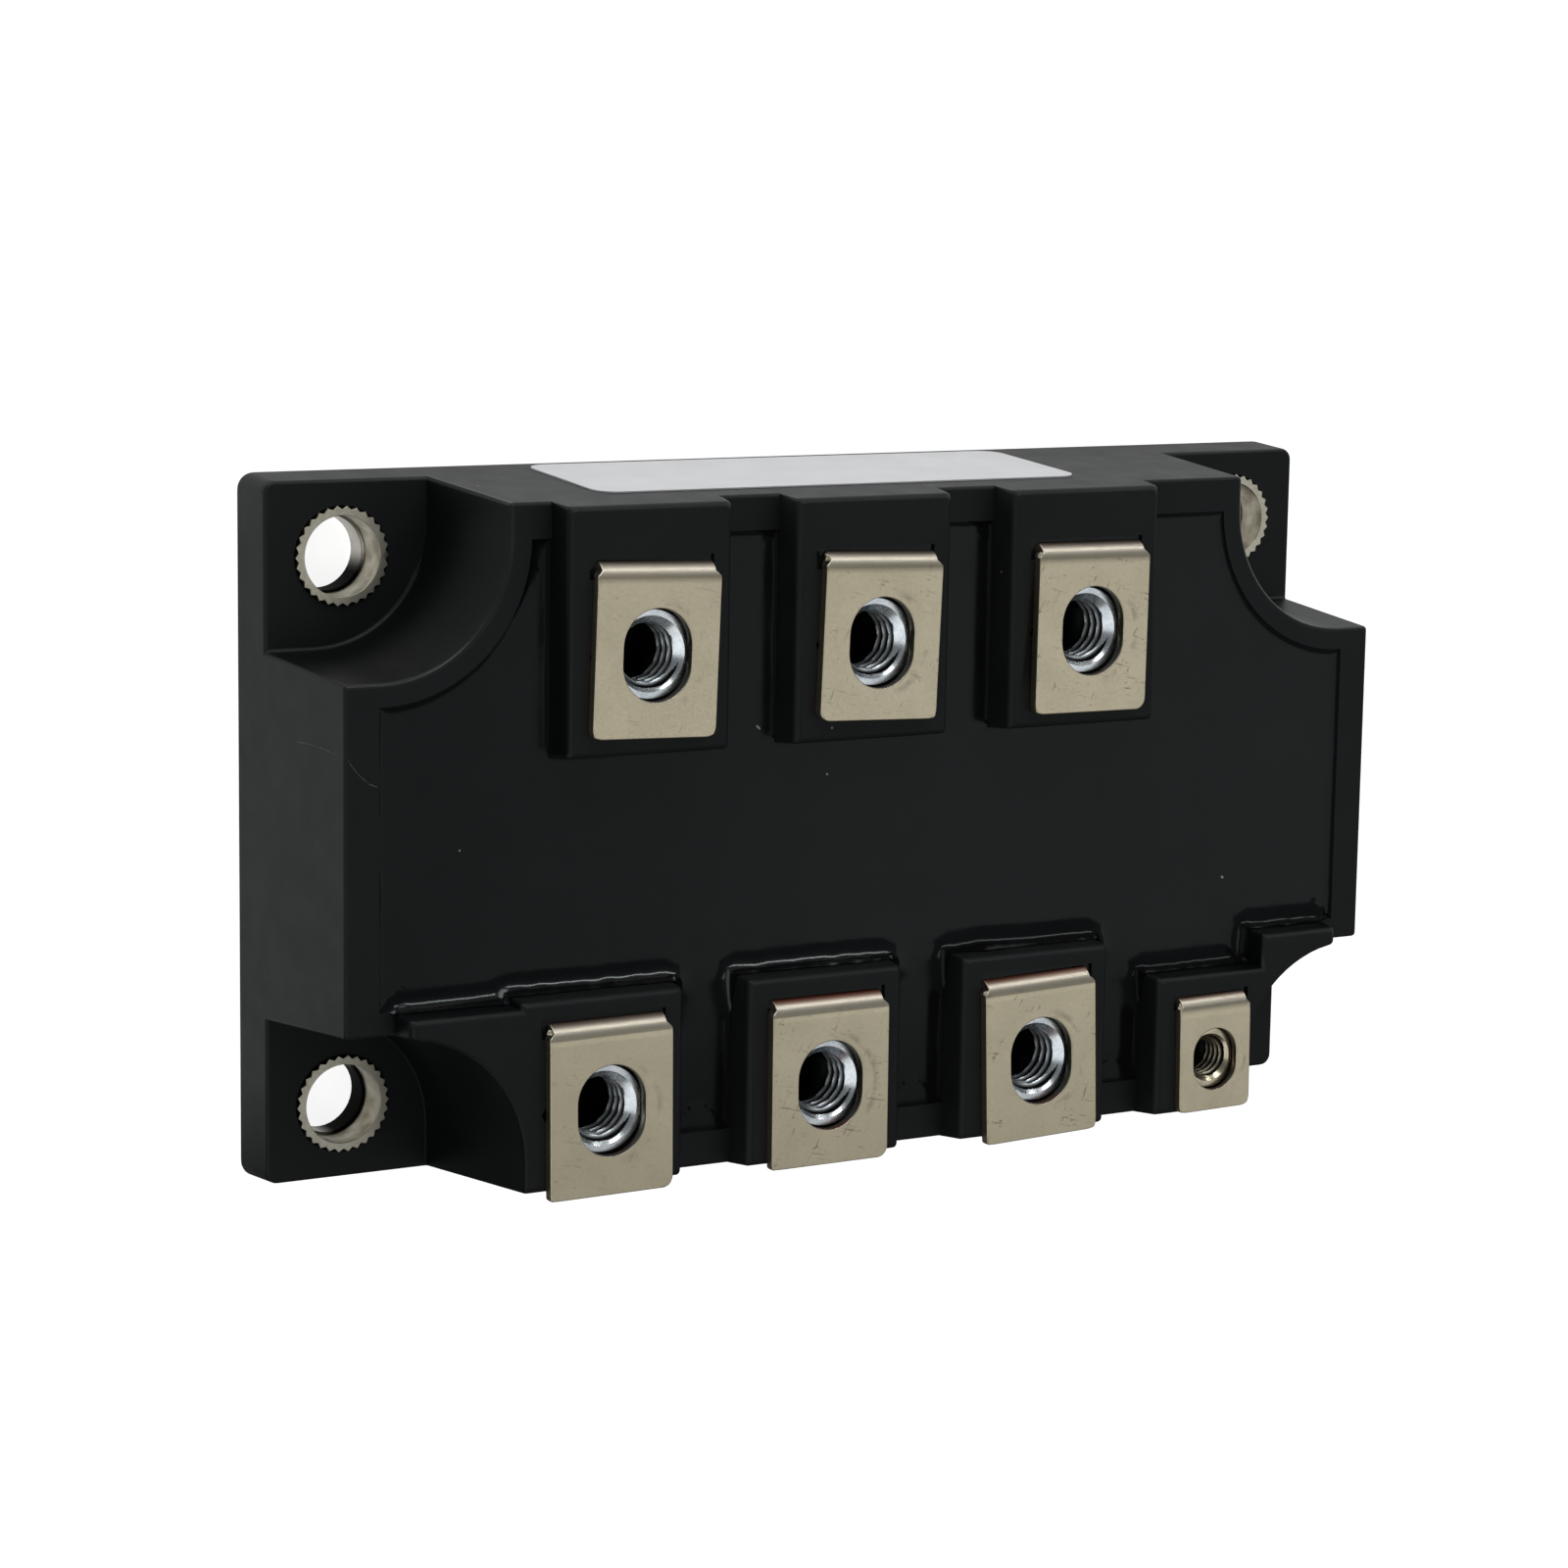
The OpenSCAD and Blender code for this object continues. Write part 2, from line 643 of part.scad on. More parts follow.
// Jumpers run from their diode to the minus rail, or from their diode to an input field
module jumper(i) {
    p = uppers[i % 3];
    low_span = low_diode_y + jumper_end / 2 - (minus_lo + minus_hi) / 2 + jumper_end / 2;
    high_span = input_lo + track_gap + jumper_end - high_diode_y + jumper_end / 2;
    color([0.8, 0.5, 0.34])
        if (i < 3)
            translate([p[0] + low_diode_x, low_diode_y + jumper_end / 2, 0]) mirror([0, 1, 0])
                along_x(jumper_w) polygon(jumper_line(low_span, jumper_end, jumper_rise));
        else
            translate([p[0] + high_diode_x, high_diode_y - jumper_end / 2, 0])
                along_x(jumper_w) polygon(jumper_line(high_span, jumper_end, jumper_rise));
}

module cathode_strap() {
    start = thyristor_x + jumper_end / 2;
    span = start - output_right + tile_margin + jumper_end;
    color([0.8, 0.5, 0.34]) translate([start, strap_y, 0]) mirror([1, 0, 0])
        along_y(strap_w) polygon(jumper_line(span, jumper_end, jumper_rise));
}

module gate_wire() {
    start = plus_right - tile_margin - gate_wire_end;
    span = gate_left - start + gate_wire_end + tile_margin;
    color([0.85, 0.85, 0.86]) translate([start, gate_wire_y, 0])
        along_y(gate_wire_w) polygon(jumper_line(span, gate_wire_end, gate_wire_rise));
}

case();
base_plate();
potting();
gel();
label();
substrate();
substrate_back();
tracks();
thyristor();
cathode_strap();
gate_wire();
main_terminal(lowers[0]);  // terminal_minus
main_terminal(lowers[1]);  // terminal_plus
main_terminal(lowers[2]);  // terminal_output
terminal_gate();
gate_insert();
for (i = [1:3]) main_terminal(uppers[i - 1]);
for (i = [1:4]) sleeve(i - 1);
for (i = [1:6]) nut(mains[i - 1]);
for (i = [1:6]) diode(i - 1);
for (i = [1:6]) jumper(i - 1);
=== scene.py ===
"""Looks of a potted rectifier module: finishes, soft edges, cast resin and screw threads round its solids."""
import json
import math

import bmesh
import bpy
import numpy as np
from mathutils import Matrix, Vector, geometry, noise


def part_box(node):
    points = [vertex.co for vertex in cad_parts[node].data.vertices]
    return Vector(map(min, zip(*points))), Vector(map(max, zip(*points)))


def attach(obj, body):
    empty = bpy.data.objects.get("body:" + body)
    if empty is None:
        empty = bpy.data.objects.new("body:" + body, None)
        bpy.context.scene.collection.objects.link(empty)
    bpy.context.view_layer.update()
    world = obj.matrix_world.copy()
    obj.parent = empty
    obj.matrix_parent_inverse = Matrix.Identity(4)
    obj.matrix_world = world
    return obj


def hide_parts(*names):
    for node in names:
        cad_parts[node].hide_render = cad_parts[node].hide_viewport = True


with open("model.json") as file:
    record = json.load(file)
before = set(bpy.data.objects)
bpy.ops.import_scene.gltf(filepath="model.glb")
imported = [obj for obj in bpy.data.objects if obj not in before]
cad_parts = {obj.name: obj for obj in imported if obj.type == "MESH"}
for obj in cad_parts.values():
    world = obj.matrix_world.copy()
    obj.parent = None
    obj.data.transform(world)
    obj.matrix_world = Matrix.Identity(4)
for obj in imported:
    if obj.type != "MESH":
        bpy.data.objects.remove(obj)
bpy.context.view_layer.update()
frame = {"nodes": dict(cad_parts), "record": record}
nodes = frame["nodes"]

MM = 0.001

# Camera fitted to the edges of the case: its place in millimetres, its own axes and its lens
CAMERA_PLACE = Vector((-189.593, 62.036, 333.539))
CAMERA_RIGHT = Vector((0.869750, 0.015125, 0.493260))
CAMERA_UP = Vector((0.065335, 0.987203, -0.145473))
CAMERA_LENS = 95.88
# The nearest and the farthest that the camera sees, in metres
CAMERA_NEAR = 0.01
CAMERA_FAR = 20.0

# Soft boxes: the way to each from the part, its width and height in metres, and its brightness
LIGHTS = {
    "front_box": ((0.54, -0.132, 0.83), 0.85, 0.26, 0.7),
    "fold_box": ((0.42, 0.76, 0.46), 0.65, 0.05, 13.0),
    "label_box": ((-0.28, 0.93, 0.24), 0.95, 0.32, 3.5),
    "left_box": ((-0.72, -0.50, 0.45), 0.35, 1.2, 1.0),
    "lens_box": ((-0.50, -0.14, 0.85), 0.22, 0.22, 2.5),
}
# Distance of the soft boxes from the frame's origin, in metres
LIGHT_AWAY = 0.9

# Floor: half its size in metres, how far below the part it lies in millimetres, and how bright the camera
# sees it
FLOOR_HALF = 3.0
FLOOR_DROP = 0.2
FLOOR_GLOW = 0.85
# How bright the floor looks in reflections, darker towards -Y as a painted shadow of the part: half the
# width in millimetres along Y, and grey levels across it
SHEEN_HALF = 50.0
SHEEN = ((0.15, 0.06), (0.28, 0.72), (0.75, 0.72), (0.9, 1.0))

# How near points of the solids are merged and how thin faces are dropped, in metres, and up to which angle a
# bend is flat
WELD = 1e-6
THIN = 1e-5
FLAT_ANGLE = math.radians(0.4)
# Edges with a larger angle between their faces are sharp
SHARP_ANGLE = math.radians(32)

# Rounding of the sharp edges of each solid and of the feet of the lower screw-head notches, in millimetres
EDGE_ROUND = {"case": 0.35, "base_plate": 0.25, "terminal": 0.1, "sleeve": 0.05}
FOOT_ROUND = 0.08
# Faces across a rounding
ROUND_STEPS = 3

# Limits on a face's normal: along Z for level, upright and steep faces, along Y for a notch's wall that is
# rounded at its foot, and along X for a face to the left
LEVEL_FACE = 0.99
UPRIGHT_FACE = 0.01
STEEP_FACE = 0.6
FOOT_FACE = 0.35
LEFT_FACE = -0.45

# Heights in millimetres: the top of the ears, and one above the rim and below the bosses' edges
EAR_TOP = 5.6
BOSS_EDGE = 21.5
# How near to the ears' top the edges at a notch's foot and their rounding lie, in millimetres
FOOT_EDGE_NEAR = 0.02
FOOT_NEAR = 0.5
# How far from its hole a notch's wall lies at most, in millimetres
NOTCH_REACH = 17.5

# Wear and painted highlight of rounded edges: halfway along Y, the millimetres along Y over which it grows
# by 1, and what share of it the notches' feet, the bosses and the faces to the left take
WORN_LIT_MIDDLE = 0.7
WORN_LIT_SPAN = 30.0
WORN_LIT_FOOT = 0.25
WORN_LIT_BOSS = 0.3
WORN_LIT_LEFT = 0.2

# Folded plates: radius of the fold and how far before it the sheet begins to curve, in millimetres, and the
# slope that it reaches
FOLD_RADIUS = 1.5
FOLD_EASE = 0.5
FOLD_SLOPE = 0.12
# Cuts across the sheet where it curves, and how far below its top they reach, in millimetres
FOLD_CUTS = 7
FOLD_CUT_DEPTH = 1.6
# How far below the top the leg keeps its height, and over what height it gives way above that, in millimetres
FOLD_STILL = 3.5
FOLD_BLEND = 1.5

# In millimetres: where a plate's hole lies before the outer face of its fold, the half size of the hole, and
# the radius of the free corners
MAIN_PLATE = (8.05, 3.25, 4.0, 1.0)
GATE_PLATE = (6.1, 2.4, 2.9, 1.0)
# In millimetres: how far past a hole's size its wall is looked for, and how far past it the plate's extra
# length begins
HOLE_SLACK = 0.05
HOLE_CLEAR = 0.3
# Painted shade on a hole's wall for each millimetre below the plate's top
HOLE_SHADE = 2.0
# Height up to which a leg stands still, and over which the plate's turn and shift grow to full above it, in
# millimetres
LEG_STILL = 10.0
LEG_BLEND = 5.0
# Half lengths of a hole that count as 1 in the pattern of rubbing round it
RUB_SPAN = 2.0

# Each plate as it was bent and clipped: turn in degrees, shift along X and extra length in millimetres, how
# square its left and right free corners are, how bare the copper on its fold is, and how scuffed it is
PLATES = {
    "terminal_ac_1": (-1.85, 0.13, 0.0, 0.4, 0.3, 0.0, 0.3),
    "terminal_ac_2": (-2.0, 0.22, -0.3, 0.0, 0.6, 0.0, 0.5),
    "terminal_ac_3": (-0.6, 0.26, 0.25, 0.5, 0.0, 0.0, 1.0),
    "terminal_minus": (0.5, 0.36, 0.3, 0.9, 0.1, 0.1, 0.5),
    "terminal_plus": (0.2, 0.0, 0.0, 0.9, 0.0, 1.0, 0.8),
    "terminal_output": (2.0, 0.1, 0.0, 0.8, 0.5, 0.8, 0.8),
    "terminal_gate": (1.0, 0.1, 0.0, 0.6, 0.3, 0.3, 0.2),
}
# Scuffs on the plates: turn of their strokes, and their width as a share of their length
SCUFFS = ((0.25, 0.12), (-1.1, 0.2), (0.1, 0.45))

# Burrs at the left end of some folds: radius, and how far before the outer face of the fold, in millimetres
BURRS = {
    "terminal_ac_2": (0.27, 0.6),
    "terminal_ac_3": (0.2, 1.1),
    "terminal_minus": (0.22, 0.7),
    "terminal_output": (0.24, 1.2),
    "terminal_gate": (0.25, 0.8),
}
# How far in from the plate's side and below its top a burr sits, in its radii
BURR_IN = 0.5
BURR_SINK = 1.3
# How ragged a burr is, how fine that is for each millimetre, and how much longer it is along Y
BURR_RAGGED = 0.6
BURR_FINE = 4.0
BURR_STRETCH = 1.3

# Screw threads in millimetres: crest radius, depth and pitch, and the radius at the mouth
NUT_THREAD = (2.5, 0.5, 1.0)
NUT_MOUTH = 3.3
GATE_THREAD = (1.65, 0.35, 0.7)
GATE_MOUTH = 2.25
# How much wider than its crest a thread opens at its lower end, in millimetres
THREAD_FOOT = 0.3
# Flat part of a thread's crest and root, in half pitches, and how fast painted shade grows from crest to root
THREAD_FLAT = 0.12
THREAD_SHADE = 1.6
# Points round a thread, and along each pitch
THREAD_COLUMNS = 96
THREAD_ROWS = 12
# Width of the ring round the mouth of a thread that is kept free of painted shade, and of its border, in
# millimetres; the top beyond it and the outer faces are in full painted shade
UNSHADED_TOP = 0.5
UNSHADED_BORDER = 0.05
# Half the nuts' width across flats in millimetres, and the share of it inside the chamfer
NUT_FLAT = 5.0
NUT_CHAMFER = 0.97
# Radius of the insert and width of its broken edges, in millimetres
INSERT_RADIUS = 3.1
INSERT_EDGE = 0.25

# Cast resin in millimetres: how far it climbs the walls and how soon it falls to its level, along the lower
# bosses, the upper ones, the bosses' sides, the rim, the left wall and the lower wall
CLIMB_LOWER = (1.25, 0.65)
CLIMB_UPPER = (0.05, 0.5)
CLIMB_SIDE = (0.15, 0.4)
CLIMB_RIM = (0.16, 0.3)
CLIMB_LEFT = (0.22, 0.42)
CLIMB_FOOT = (0.25, 1.1)
# How uneven the climb is, and the waves of that: how fine for each millimetre, place in the noise, and weight
UNEVEN = 0.25
UNEVEN_WAVES = ((0.2, 3.1, 1.0), (0.8, 7.7, 0.5))
# Inner faces of the lower bosses and of the gate boss along Y, the gate boss's left side along X, and how far
# the climb fades down their sides, in millimetres
LOWER_FACE = -13.3
GATE_FACE = -17.0
GATE_LEFT = 26.0
CLIMB_FADE = 3.5
# How far from the side walls the climb along the lower bosses is full, in millimetres
CLIMB_END = 2.0
# How near to the resin's box its outline counts as a wall, and how far out along X the upper notches begin,
# in millimetres
WALL_NEAR = 0.06
NOTCH_FROM = 34.5
# Limit along X on the way into the resin, at the left sides of the upper bosses
INTO_LEFT = -0.8

# The climb in millimetres at which its film begins, and over which it grows to full
FILM_FROM = 0.2
FILM_SPAN = 0.4
# Gloss that a full film adds, the place along X up to which it adds all of it, the place from which it takes
# gloss away instead, both in millimetres, and the share of it there
FILM_GLOSS = 0.3
FILM_BRIGHT_TO = -8.0
FILM_DULL_FROM = 8.0
FILM_DULL = -0.35
# Gloss of the level resin along X, and the share of it along Y: two places in millimetres, and the value at
# each
GLOSS_LEFT = (-47.0, 0.0, 0.12, 0.172)
GLOSS_FOOT = (-25.0, -12.0, 0.6, 1.0)

# Mesh of the resin in millimetres: steps along its outline, rings inside it, pitch of the points within them,
# and how far from the outline those begin
OUTLINE_STEP = 0.45
RINGS = (0.12, 0.26, 0.42, 0.6, 0.8, 1.05, 1.35, 1.7, 2.1, 2.6, 3.2)
FIELD_PITCH = 1.2
FIELD_FROM = 3.8
# Share of a ring's distance that its points keep from the whole outline, and how near points are the same, in
# metres
RING_KEEP = 0.85
SAME_POINT = 1e-8
# Waves of the resin's level: height in millimetres, and how fine for each metre
WAVE_HEIGHT = 0.03
WAVE_FINE = 90.0

# Resin in the slots round the legs, in millimetres: half its width, and how far it reaches inside and outside
# the outer face of the fold
MAIN_SLOT = (5.93, 1.48, 0.28)
GATE_SLOT = (4.13, 1.28, 0.28)
# The bosses' top, how far below it this resin stands, and the height of it that is modelled, in millimetres
BOSS_TOP = 23.0
SLOT_SINK = 0.3
SLOT_FILL = 2.0

# Dust on the resin: place along X and Y, and half length and half width, in millimetres, and its turn about Z
DUST = [(36.84, -8.04, 0.17, 0.12), (-6.18, 4.51, 0.12, 0.1), (-13.2, 9.1, 0.28, 0.09),
        (-41.85, 0.32, 0.09, 0.08)]
DUST_TURN = -0.7

# Scratch over the left wall and the rim, half its width, and how far it stands off the plastic, in
# millimetres
SCRATCH = [(-53.13, 9.14, 11.5), (-52.95, 9.25, 14.0), (-52.78, 9.2, 16.2), (-52.62, 9.0, 18.2),
           (-52.2, 8.75, 20.0), (-51.96, 8.28, 20.0), (-51.25, 7.42, 20.0), (-50.37, 6.62, 20.0),
           (-49.55, 6.28, 20.0)]
SCRATCH_HALF = 0.035
SCRATCH_PROUD = 0.02
# Height in millimetres from which the scratch lies on the rim, and the way that the left wall below it faces
SCRATCH_ON_RIM = 19.9
LEFT_WALL = Vector((-0.997, 0, 0.075))

# Towards which side the walls of the upper and of the lower mounting holes get a painted shade
SHADE_UPPER = Vector((0, -1))
SHADE_LOWER = Vector((0.95, -0.3))
# Painted shade on these walls: its least, how it grows towards that side, and what is taken off it
SHADE_LEAST = 0.05
SHADE_GROWTH = 2.2
SHADE_OFF = 0.1
# Colour of the painted shade in the thread roots and holes of plated metal
METAL_SHADE = (0.015, 0.014, 0.013)

# Tint of the gloss on black plastic and resin
COOL = (0.92, 1.0, 1.0, 1)

# Sockets of a mix node that blends colours
MIX_FACTOR = 0
MIX_FIRST = 6
MIX_SECOND = 7
MIX_RESULT = 2


def within(value):
    """A number kept between 0 and 1."""
    return min(1.0, max(0.0, value))


# Node helpers

def new_material(name):
    """A material with its node tree and its surface shader."""
    made = bpy.data.materials.new(name)
    made.use_nodes = True
    tree = made.node_tree
    return made, tree, tree.nodes["Principled BSDF"]


def feed(tree, node, inputs):
    """Sets a node's inputs to numbers, or links them to other sockets."""
    for key, value in inputs.items():
        if isinstance(value, bpy.types.NodeSocket):
            tree.links.new(value, node.inputs[key])
        else:
            node.inputs[key].default_value = value


def add(tree, kind, inputs=None, **settings):
    """A node with its settings and its inputs."""
    made = tree.nodes.new(kind)
    for key, value in settings.items():
        setattr(made, key, value)
    feed(tree, made, inputs or {})
    return made


def colour(value):
    """A grey level or a colour with full alpha. A socket stays as it is."""
    if isinstance(value, bpy.types.NodeSocket):
        return value
    return (value, value, value, 1) if isinstance(value, (int, float)) else (*value, 1)


def calculate(tree, operation, *values):
    """The result of an operation on numbers or sockets."""
    return add(tree, "ShaderNodeMath", dict(enumerate(values)), operation=operation).outputs[0]


def marked(tree, name, kind="Fac"):
    """A value that the mesh carries."""
    return add(tree, "ShaderNodeAttribute", attribute_name=name).outputs[kind]


def along(tree, vector, axis):
    """A vector's part along X, Y or Z."""
    return add(tree, "ShaderNodeSeparateXYZ", {"Vector": vector}).outputs[axis]


def facing(tree, axis):
    """How far the surface faces along X, Y or Z."""
    return along(tree, add(tree, "ShaderNodeNewGeometry").outputs["Normal"], axis)


def length_of(tree, vector):
    return add(tree, "ShaderNodeVectorMath", {0: vector}, operation="LENGTH").outputs["Value"]


def place(tree, stretch=(1, 1, 1), turn=0.0):
    """Coordinates on the object in metres, turned about Z and then stretched along the axes."""
    where = add(tree, "ShaderNodeTexCoord").outputs["Object"]
    if turn:
        where = add(tree, "ShaderNodeVectorRotate", {"Vector": where, "Angle": turn},
                    rotation_type="Z_AXIS").outputs["Vector"]
    if stretch == (1, 1, 1):
        return where
    return add(tree, "ShaderNodeMapping", {"Vector": where, "Scale": stretch}).outputs["Vector"]


def grain(tree, size_mm, detail=2.0, stretch=(1, 1, 1), turn=0.0):
    """Noise from 0 to 1 with lumps of that size."""
    inputs = {"Vector": place(tree, stretch, turn), "Scale": 1 / (size_mm * MM), "Detail": detail}
    return add(tree, "ShaderNodeTexNoise", inputs).outputs["Fac"]


def ramp(tree, fac, *stops):
    """Colours or grey values at places from 0 to 1."""
    made = add(tree, "ShaderNodeValToRGB", {"Fac": fac})
    band = made.color_ramp.elements
    while len(band) < len(stops):
        band.new(0.5)
    for element, (at, value) in zip(band, stops):
        element.position = at
        element.color = colour(value)
    return made.outputs["Color"]


def graded(tree, value, start_mm, stop_mm, first, last):
    """A number that goes from first to last between two places along an axis."""
    inputs = {"Value": value, "From Min": start_mm * MM, "From Max": stop_mm * MM, "To Min": first,
              "To Max": last}
    return add(tree, "ShaderNodeMapRange", inputs).outputs["Result"]


def mix(tree, fac, first, second):
    """A blend from the first colour to the second."""
    inputs = {MIX_FACTOR: fac, MIX_FIRST: colour(first), MIX_SECOND: colour(second)}
    return add(tree, "ShaderNodeMix", inputs, data_type="RGBA").outputs[MIX_RESULT]


def bump(tree, height, depth_mm, below=None):
    """Normal of a relief of that depth, on top of another relief."""
    inputs = {"Height": height, "Distance": depth_mm * MM}
    if below is not None:
        inputs["Normal"] = below
    return add(tree, "ShaderNodeBump", inputs).outputs["Normal"]


def specks(tree, cell_mm, size, share):
    """Scattered spots: 1 on a share of the cells, within that part of the cell, and 0 elsewhere."""
    cells = add(tree, "ShaderNodeTexVoronoi", {"Vector": place(tree), "Scale": 1 / (cell_mm * MM)})
    near = calculate(tree, "LESS_THAN", cells.outputs["Distance"], size)
    drawn = add(tree, "ShaderNodeSeparateColor", {"Color": cells.outputs["Color"]}).outputs["Red"]
    return calculate(tree, "MULTIPLY", near, calculate(tree, "LESS_THAN", drawn, share))


def shade_where_marked(tree, tone, darkness):
    """Changes a tone to a painted shade in thread roots, holes and wherever else the mesh says so."""
    return mix(tree, marked(tree, "painted_shade"), tone, darkness)


# Finishes

def moulded_plastic():
    """Black plastic with a fine grain, smoother in the notches and darker there as painted shade, and paler
    and smoother on rounded edges, partly worn and partly a painted highlight.
    """
    made, tree, shader = new_material("moulded_plastic")
    notch = marked(tree, "notch")
    wear_and_highlight = marked(tree, "wear_and_highlight")
    tone = ramp(tree, grain(tree, 6, 4), (0.3, (0.0050, 0.0053, 0.0057)), (0.7, (0.0072, 0.0075, 0.0079)))
    # Painted shade: the notch walls get a darker tone
    tone = mix(tree, notch, tone, (0.0028, 0.0042, 0.0044))
    # Rounded edges get a paler tone: partly wear, partly a painted highlight
    tone = mix(tree, wear_and_highlight, tone, (0.014, 0.0145, 0.015))
    tone = mix(tree, specks(tree, 2.6, 0.05, 0.05), tone, (0.16, 0.16, 0.15))
    matt = ramp(tree, grain(tree, 3, 3), (0.3, 0.52), (0.7, 0.58))
    matt = mix(tree, notch, matt, 0.44)
    matt = mix(tree, wear_and_highlight, matt, 0.3)
    fine = bump(tree, grain(tree, 0.22, 2), 0.006)
    relief = bump(tree, grain(tree, 1.6, 2), 0.003, fine)
    gloss = mix(tree, notch, 0.27, 0.16)
    feed(tree, shader, {"Base Color": tone, "Roughness": matt, "Normal": relief, "Specular IOR Level": gloss,
                        "Specular Tint": COOL})
    return made


def scraped_plastic():
    """Black plastic that a scratch has left pale in places."""
    made, tree, shader = new_material("scraped_plastic")
    tone = ramp(tree, grain(tree, 0.8, 2), (0.35, (0.015, 0.015, 0.016)), (0.65, (0.10, 0.105, 0.11)))
    feed(tree, shader, {"Base Color": tone, "Roughness": 0.6})
    return made


def cast_resin():
    """Glossy black resin with dust on it and a film up the walls, duller at the left and the lower wall."""
    made, tree, shader = new_material("cast_resin")
    tone = ramp(tree, grain(tree, 9, 3), (0.3, (0.0035, 0.0037, 0.0042)), (0.7, (0.0050, 0.0053, 0.0058)))
    dust = specks(tree, 3.1, 0.045, 0.06)
    for x, y, length, width in DUST:
        inputs = {"Vector": place(tree), "Location": (x * MM, y * MM, 0), "Rotation": (0, 0, DUST_TURN),
                  "Scale": (length * MM, width * MM, 1)}
        where = add(tree, "ShaderNodeMapping", inputs, vector_type="TEXTURE").outputs["Vector"]
        near = calculate(tree, "LESS_THAN", length_of(tree, where), 1.0)
        dust = calculate(tree, "MAXIMUM", dust, near)
    tone = mix(tree, dust, tone, (0.3, 0.3, 0.29))
    matt = ramp(tree, grain(tree, 4, 3), (0.3, 0.11), (0.7, 0.17))
    left = graded(tree, along(tree, place(tree), "X"), *GLOSS_LEFT)
    foot = graded(tree, along(tree, place(tree), "Y"), *GLOSS_FOOT)
    level = calculate(tree, "MULTIPLY", left, foot)
    gloss = calculate(tree, "MULTIPLY_ADD", marked(tree, "film"), FILM_GLOSS, level)
    relief = bump(tree, grain(tree, 2.4, 2), 0.01)
    feed(tree, shader, {"Base Color": tone, "Roughness": matt, "Normal": relief, "Specular IOR Level": gloss,
                        "Specular Tint": COOL})
    return made


def metal(name, dark, light, rough, brushed=(1, 1, 1), polished=None):
    """Plated metal: two tones in patches, fine brushing, painted shade in marked grooves and holes, and if
    asked for a top painted lighter where it faces up, as a painted highlight.
    """
    made, tree, shader = new_material(name)
    tone = ramp(tree, grain(tree, 1.6, 4), (0.35, dark), (0.65, light))
    # Painted highlight: faces turned up get a lighter tone, as if lit
    if polished:
        tone = mix(tree, ramp(tree, facing(tree, "Z"), (0.5, 0.0), (0.9, 0.8)), tone, polished)
    strokes = grain(tree, 0.25, 3, brushed)
    low, high = rough
    matt = ramp(tree, strokes, (0.3, low), (0.7, high))
    # Painted shade where the mesh marks it: darker and rougher
    feed(tree, shader, {"Base Color": shade_where_marked(tree, tone, METAL_SHADE), "Roughness": shade_where_marked(tree, matt, 0.9),
                        "Normal": bump(tree, strokes, 0.0006), "Metallic": 1.0})
    return made


def tinned_copper():
    """Satin tin with a mottled tone, scuffs, rubbing and spots, rougher over its fold and darker there by
    painted shade, with bare copper on the outer face of some folds.
    """
    made, tree, shader = new_material("tinned_copper")
    scuffed = marked(tree, "scuffed")
    tone = ramp(tree, grain(tree, 3.5, 4), (0.3, (0.585, 0.53, 0.378)), (0.7, (0.65, 0.588, 0.427)))
    mottle = ramp(tree, grain(tree, 0.4, 3), (0.35, 0.0), (0.7, 0.16))
    tone = mix(tree, mottle, tone, (0.42, 0.38, 0.28))
    patches = ramp(tree, grain(tree, 2.6, 2), (0.46, 0.15), (0.58, 1.0))
    patches = calculate(tree, "MULTIPLY", patches, scuffed)
    for turn, length in SCUFFS:
        scuff = ramp(tree, grain(tree, 0.28, 2, (length, 1, 1), turn), (0.64, 0.0), (0.73, 0.9))
        tone = mix(tree, calculate(tree, "MULTIPLY", scuff, patches), tone, (0.25, 0.20, 0.15))
    about = marked(tree, "about", "Vector")
    rub = ramp(tree, length_of(tree, about), (0.53, 0.0), (0.56, 1.0), (0.59, 0.7), (0.63, 0.0))
    right = ramp(tree, along(tree, about, "X"), (0.1, 0.0), (0.3, 1.0))
    broken = ramp(tree, grain(tree, 1.9, 3), (0.48, 0.0), (0.62, 0.5))
    for part in (right, broken):
        rub = calculate(tree, "MULTIPLY", rub, part)
    tone = mix(tree, rub, tone, (0.22, 0.19, 0.15))
    spots = calculate(tree, "MULTIPLY", specks(tree, 1.0, 0.085, 0.22), scuffed)
    tone = mix(tree, spots, tone, (0.20, 0.15, 0.11))
    # Painted shade over the fold, darker where it faces +Y; its outer face is darker still, or bare copper
    outward = facing(tree, "Y")
    bend = ramp(tree, outward, (0.12, 0.0), (0.45, 1.0))
    tone = mix(tree, bend, tone, (0.50, 0.46, 0.38))
    crest = mix(tree, marked(tree, "bare"), (0.30, 0.25, 0.20), (0.36, 0.12, 0.075))
    tone = mix(tree, ramp(tree, outward, (0.68, 0.0), (0.9, 1.0)), tone, crest)
    # Painted shade down the walls of the plate's hole
    tone = shade_where_marked(tree, tone, (0.02, 0.018, 0.016))
    satin = ramp(tree, grain(tree, 0.25, 3), (0.3, 0.29), (0.7, 0.36))
    feed(tree, shader, {"Base Color": tone, "Roughness": mix(tree, bend, satin, 0.40),
                        "Normal": bump(tree, grain(tree, 0.25, 3), 0.0003), "Metallic": 1.0})
    return made


def label_film():
    made, tree, shader = new_material("label_film")
    tone = ramp(tree, grain(tree, 5, 3), (0.3, (0.74, 0.75, 0.77)), (0.7, (0.80, 0.81, 0.82)))
    matt = ramp(tree, grain(tree, 2, 2), (0.3, 0.38), (0.7, 0.5))
    relief = bump(tree, grain(tree, 0.3, 2), 0.002)
    feed(tree, shader, {"Base Color": tone, "Roughness": matt, "Normal": relief})
    return made


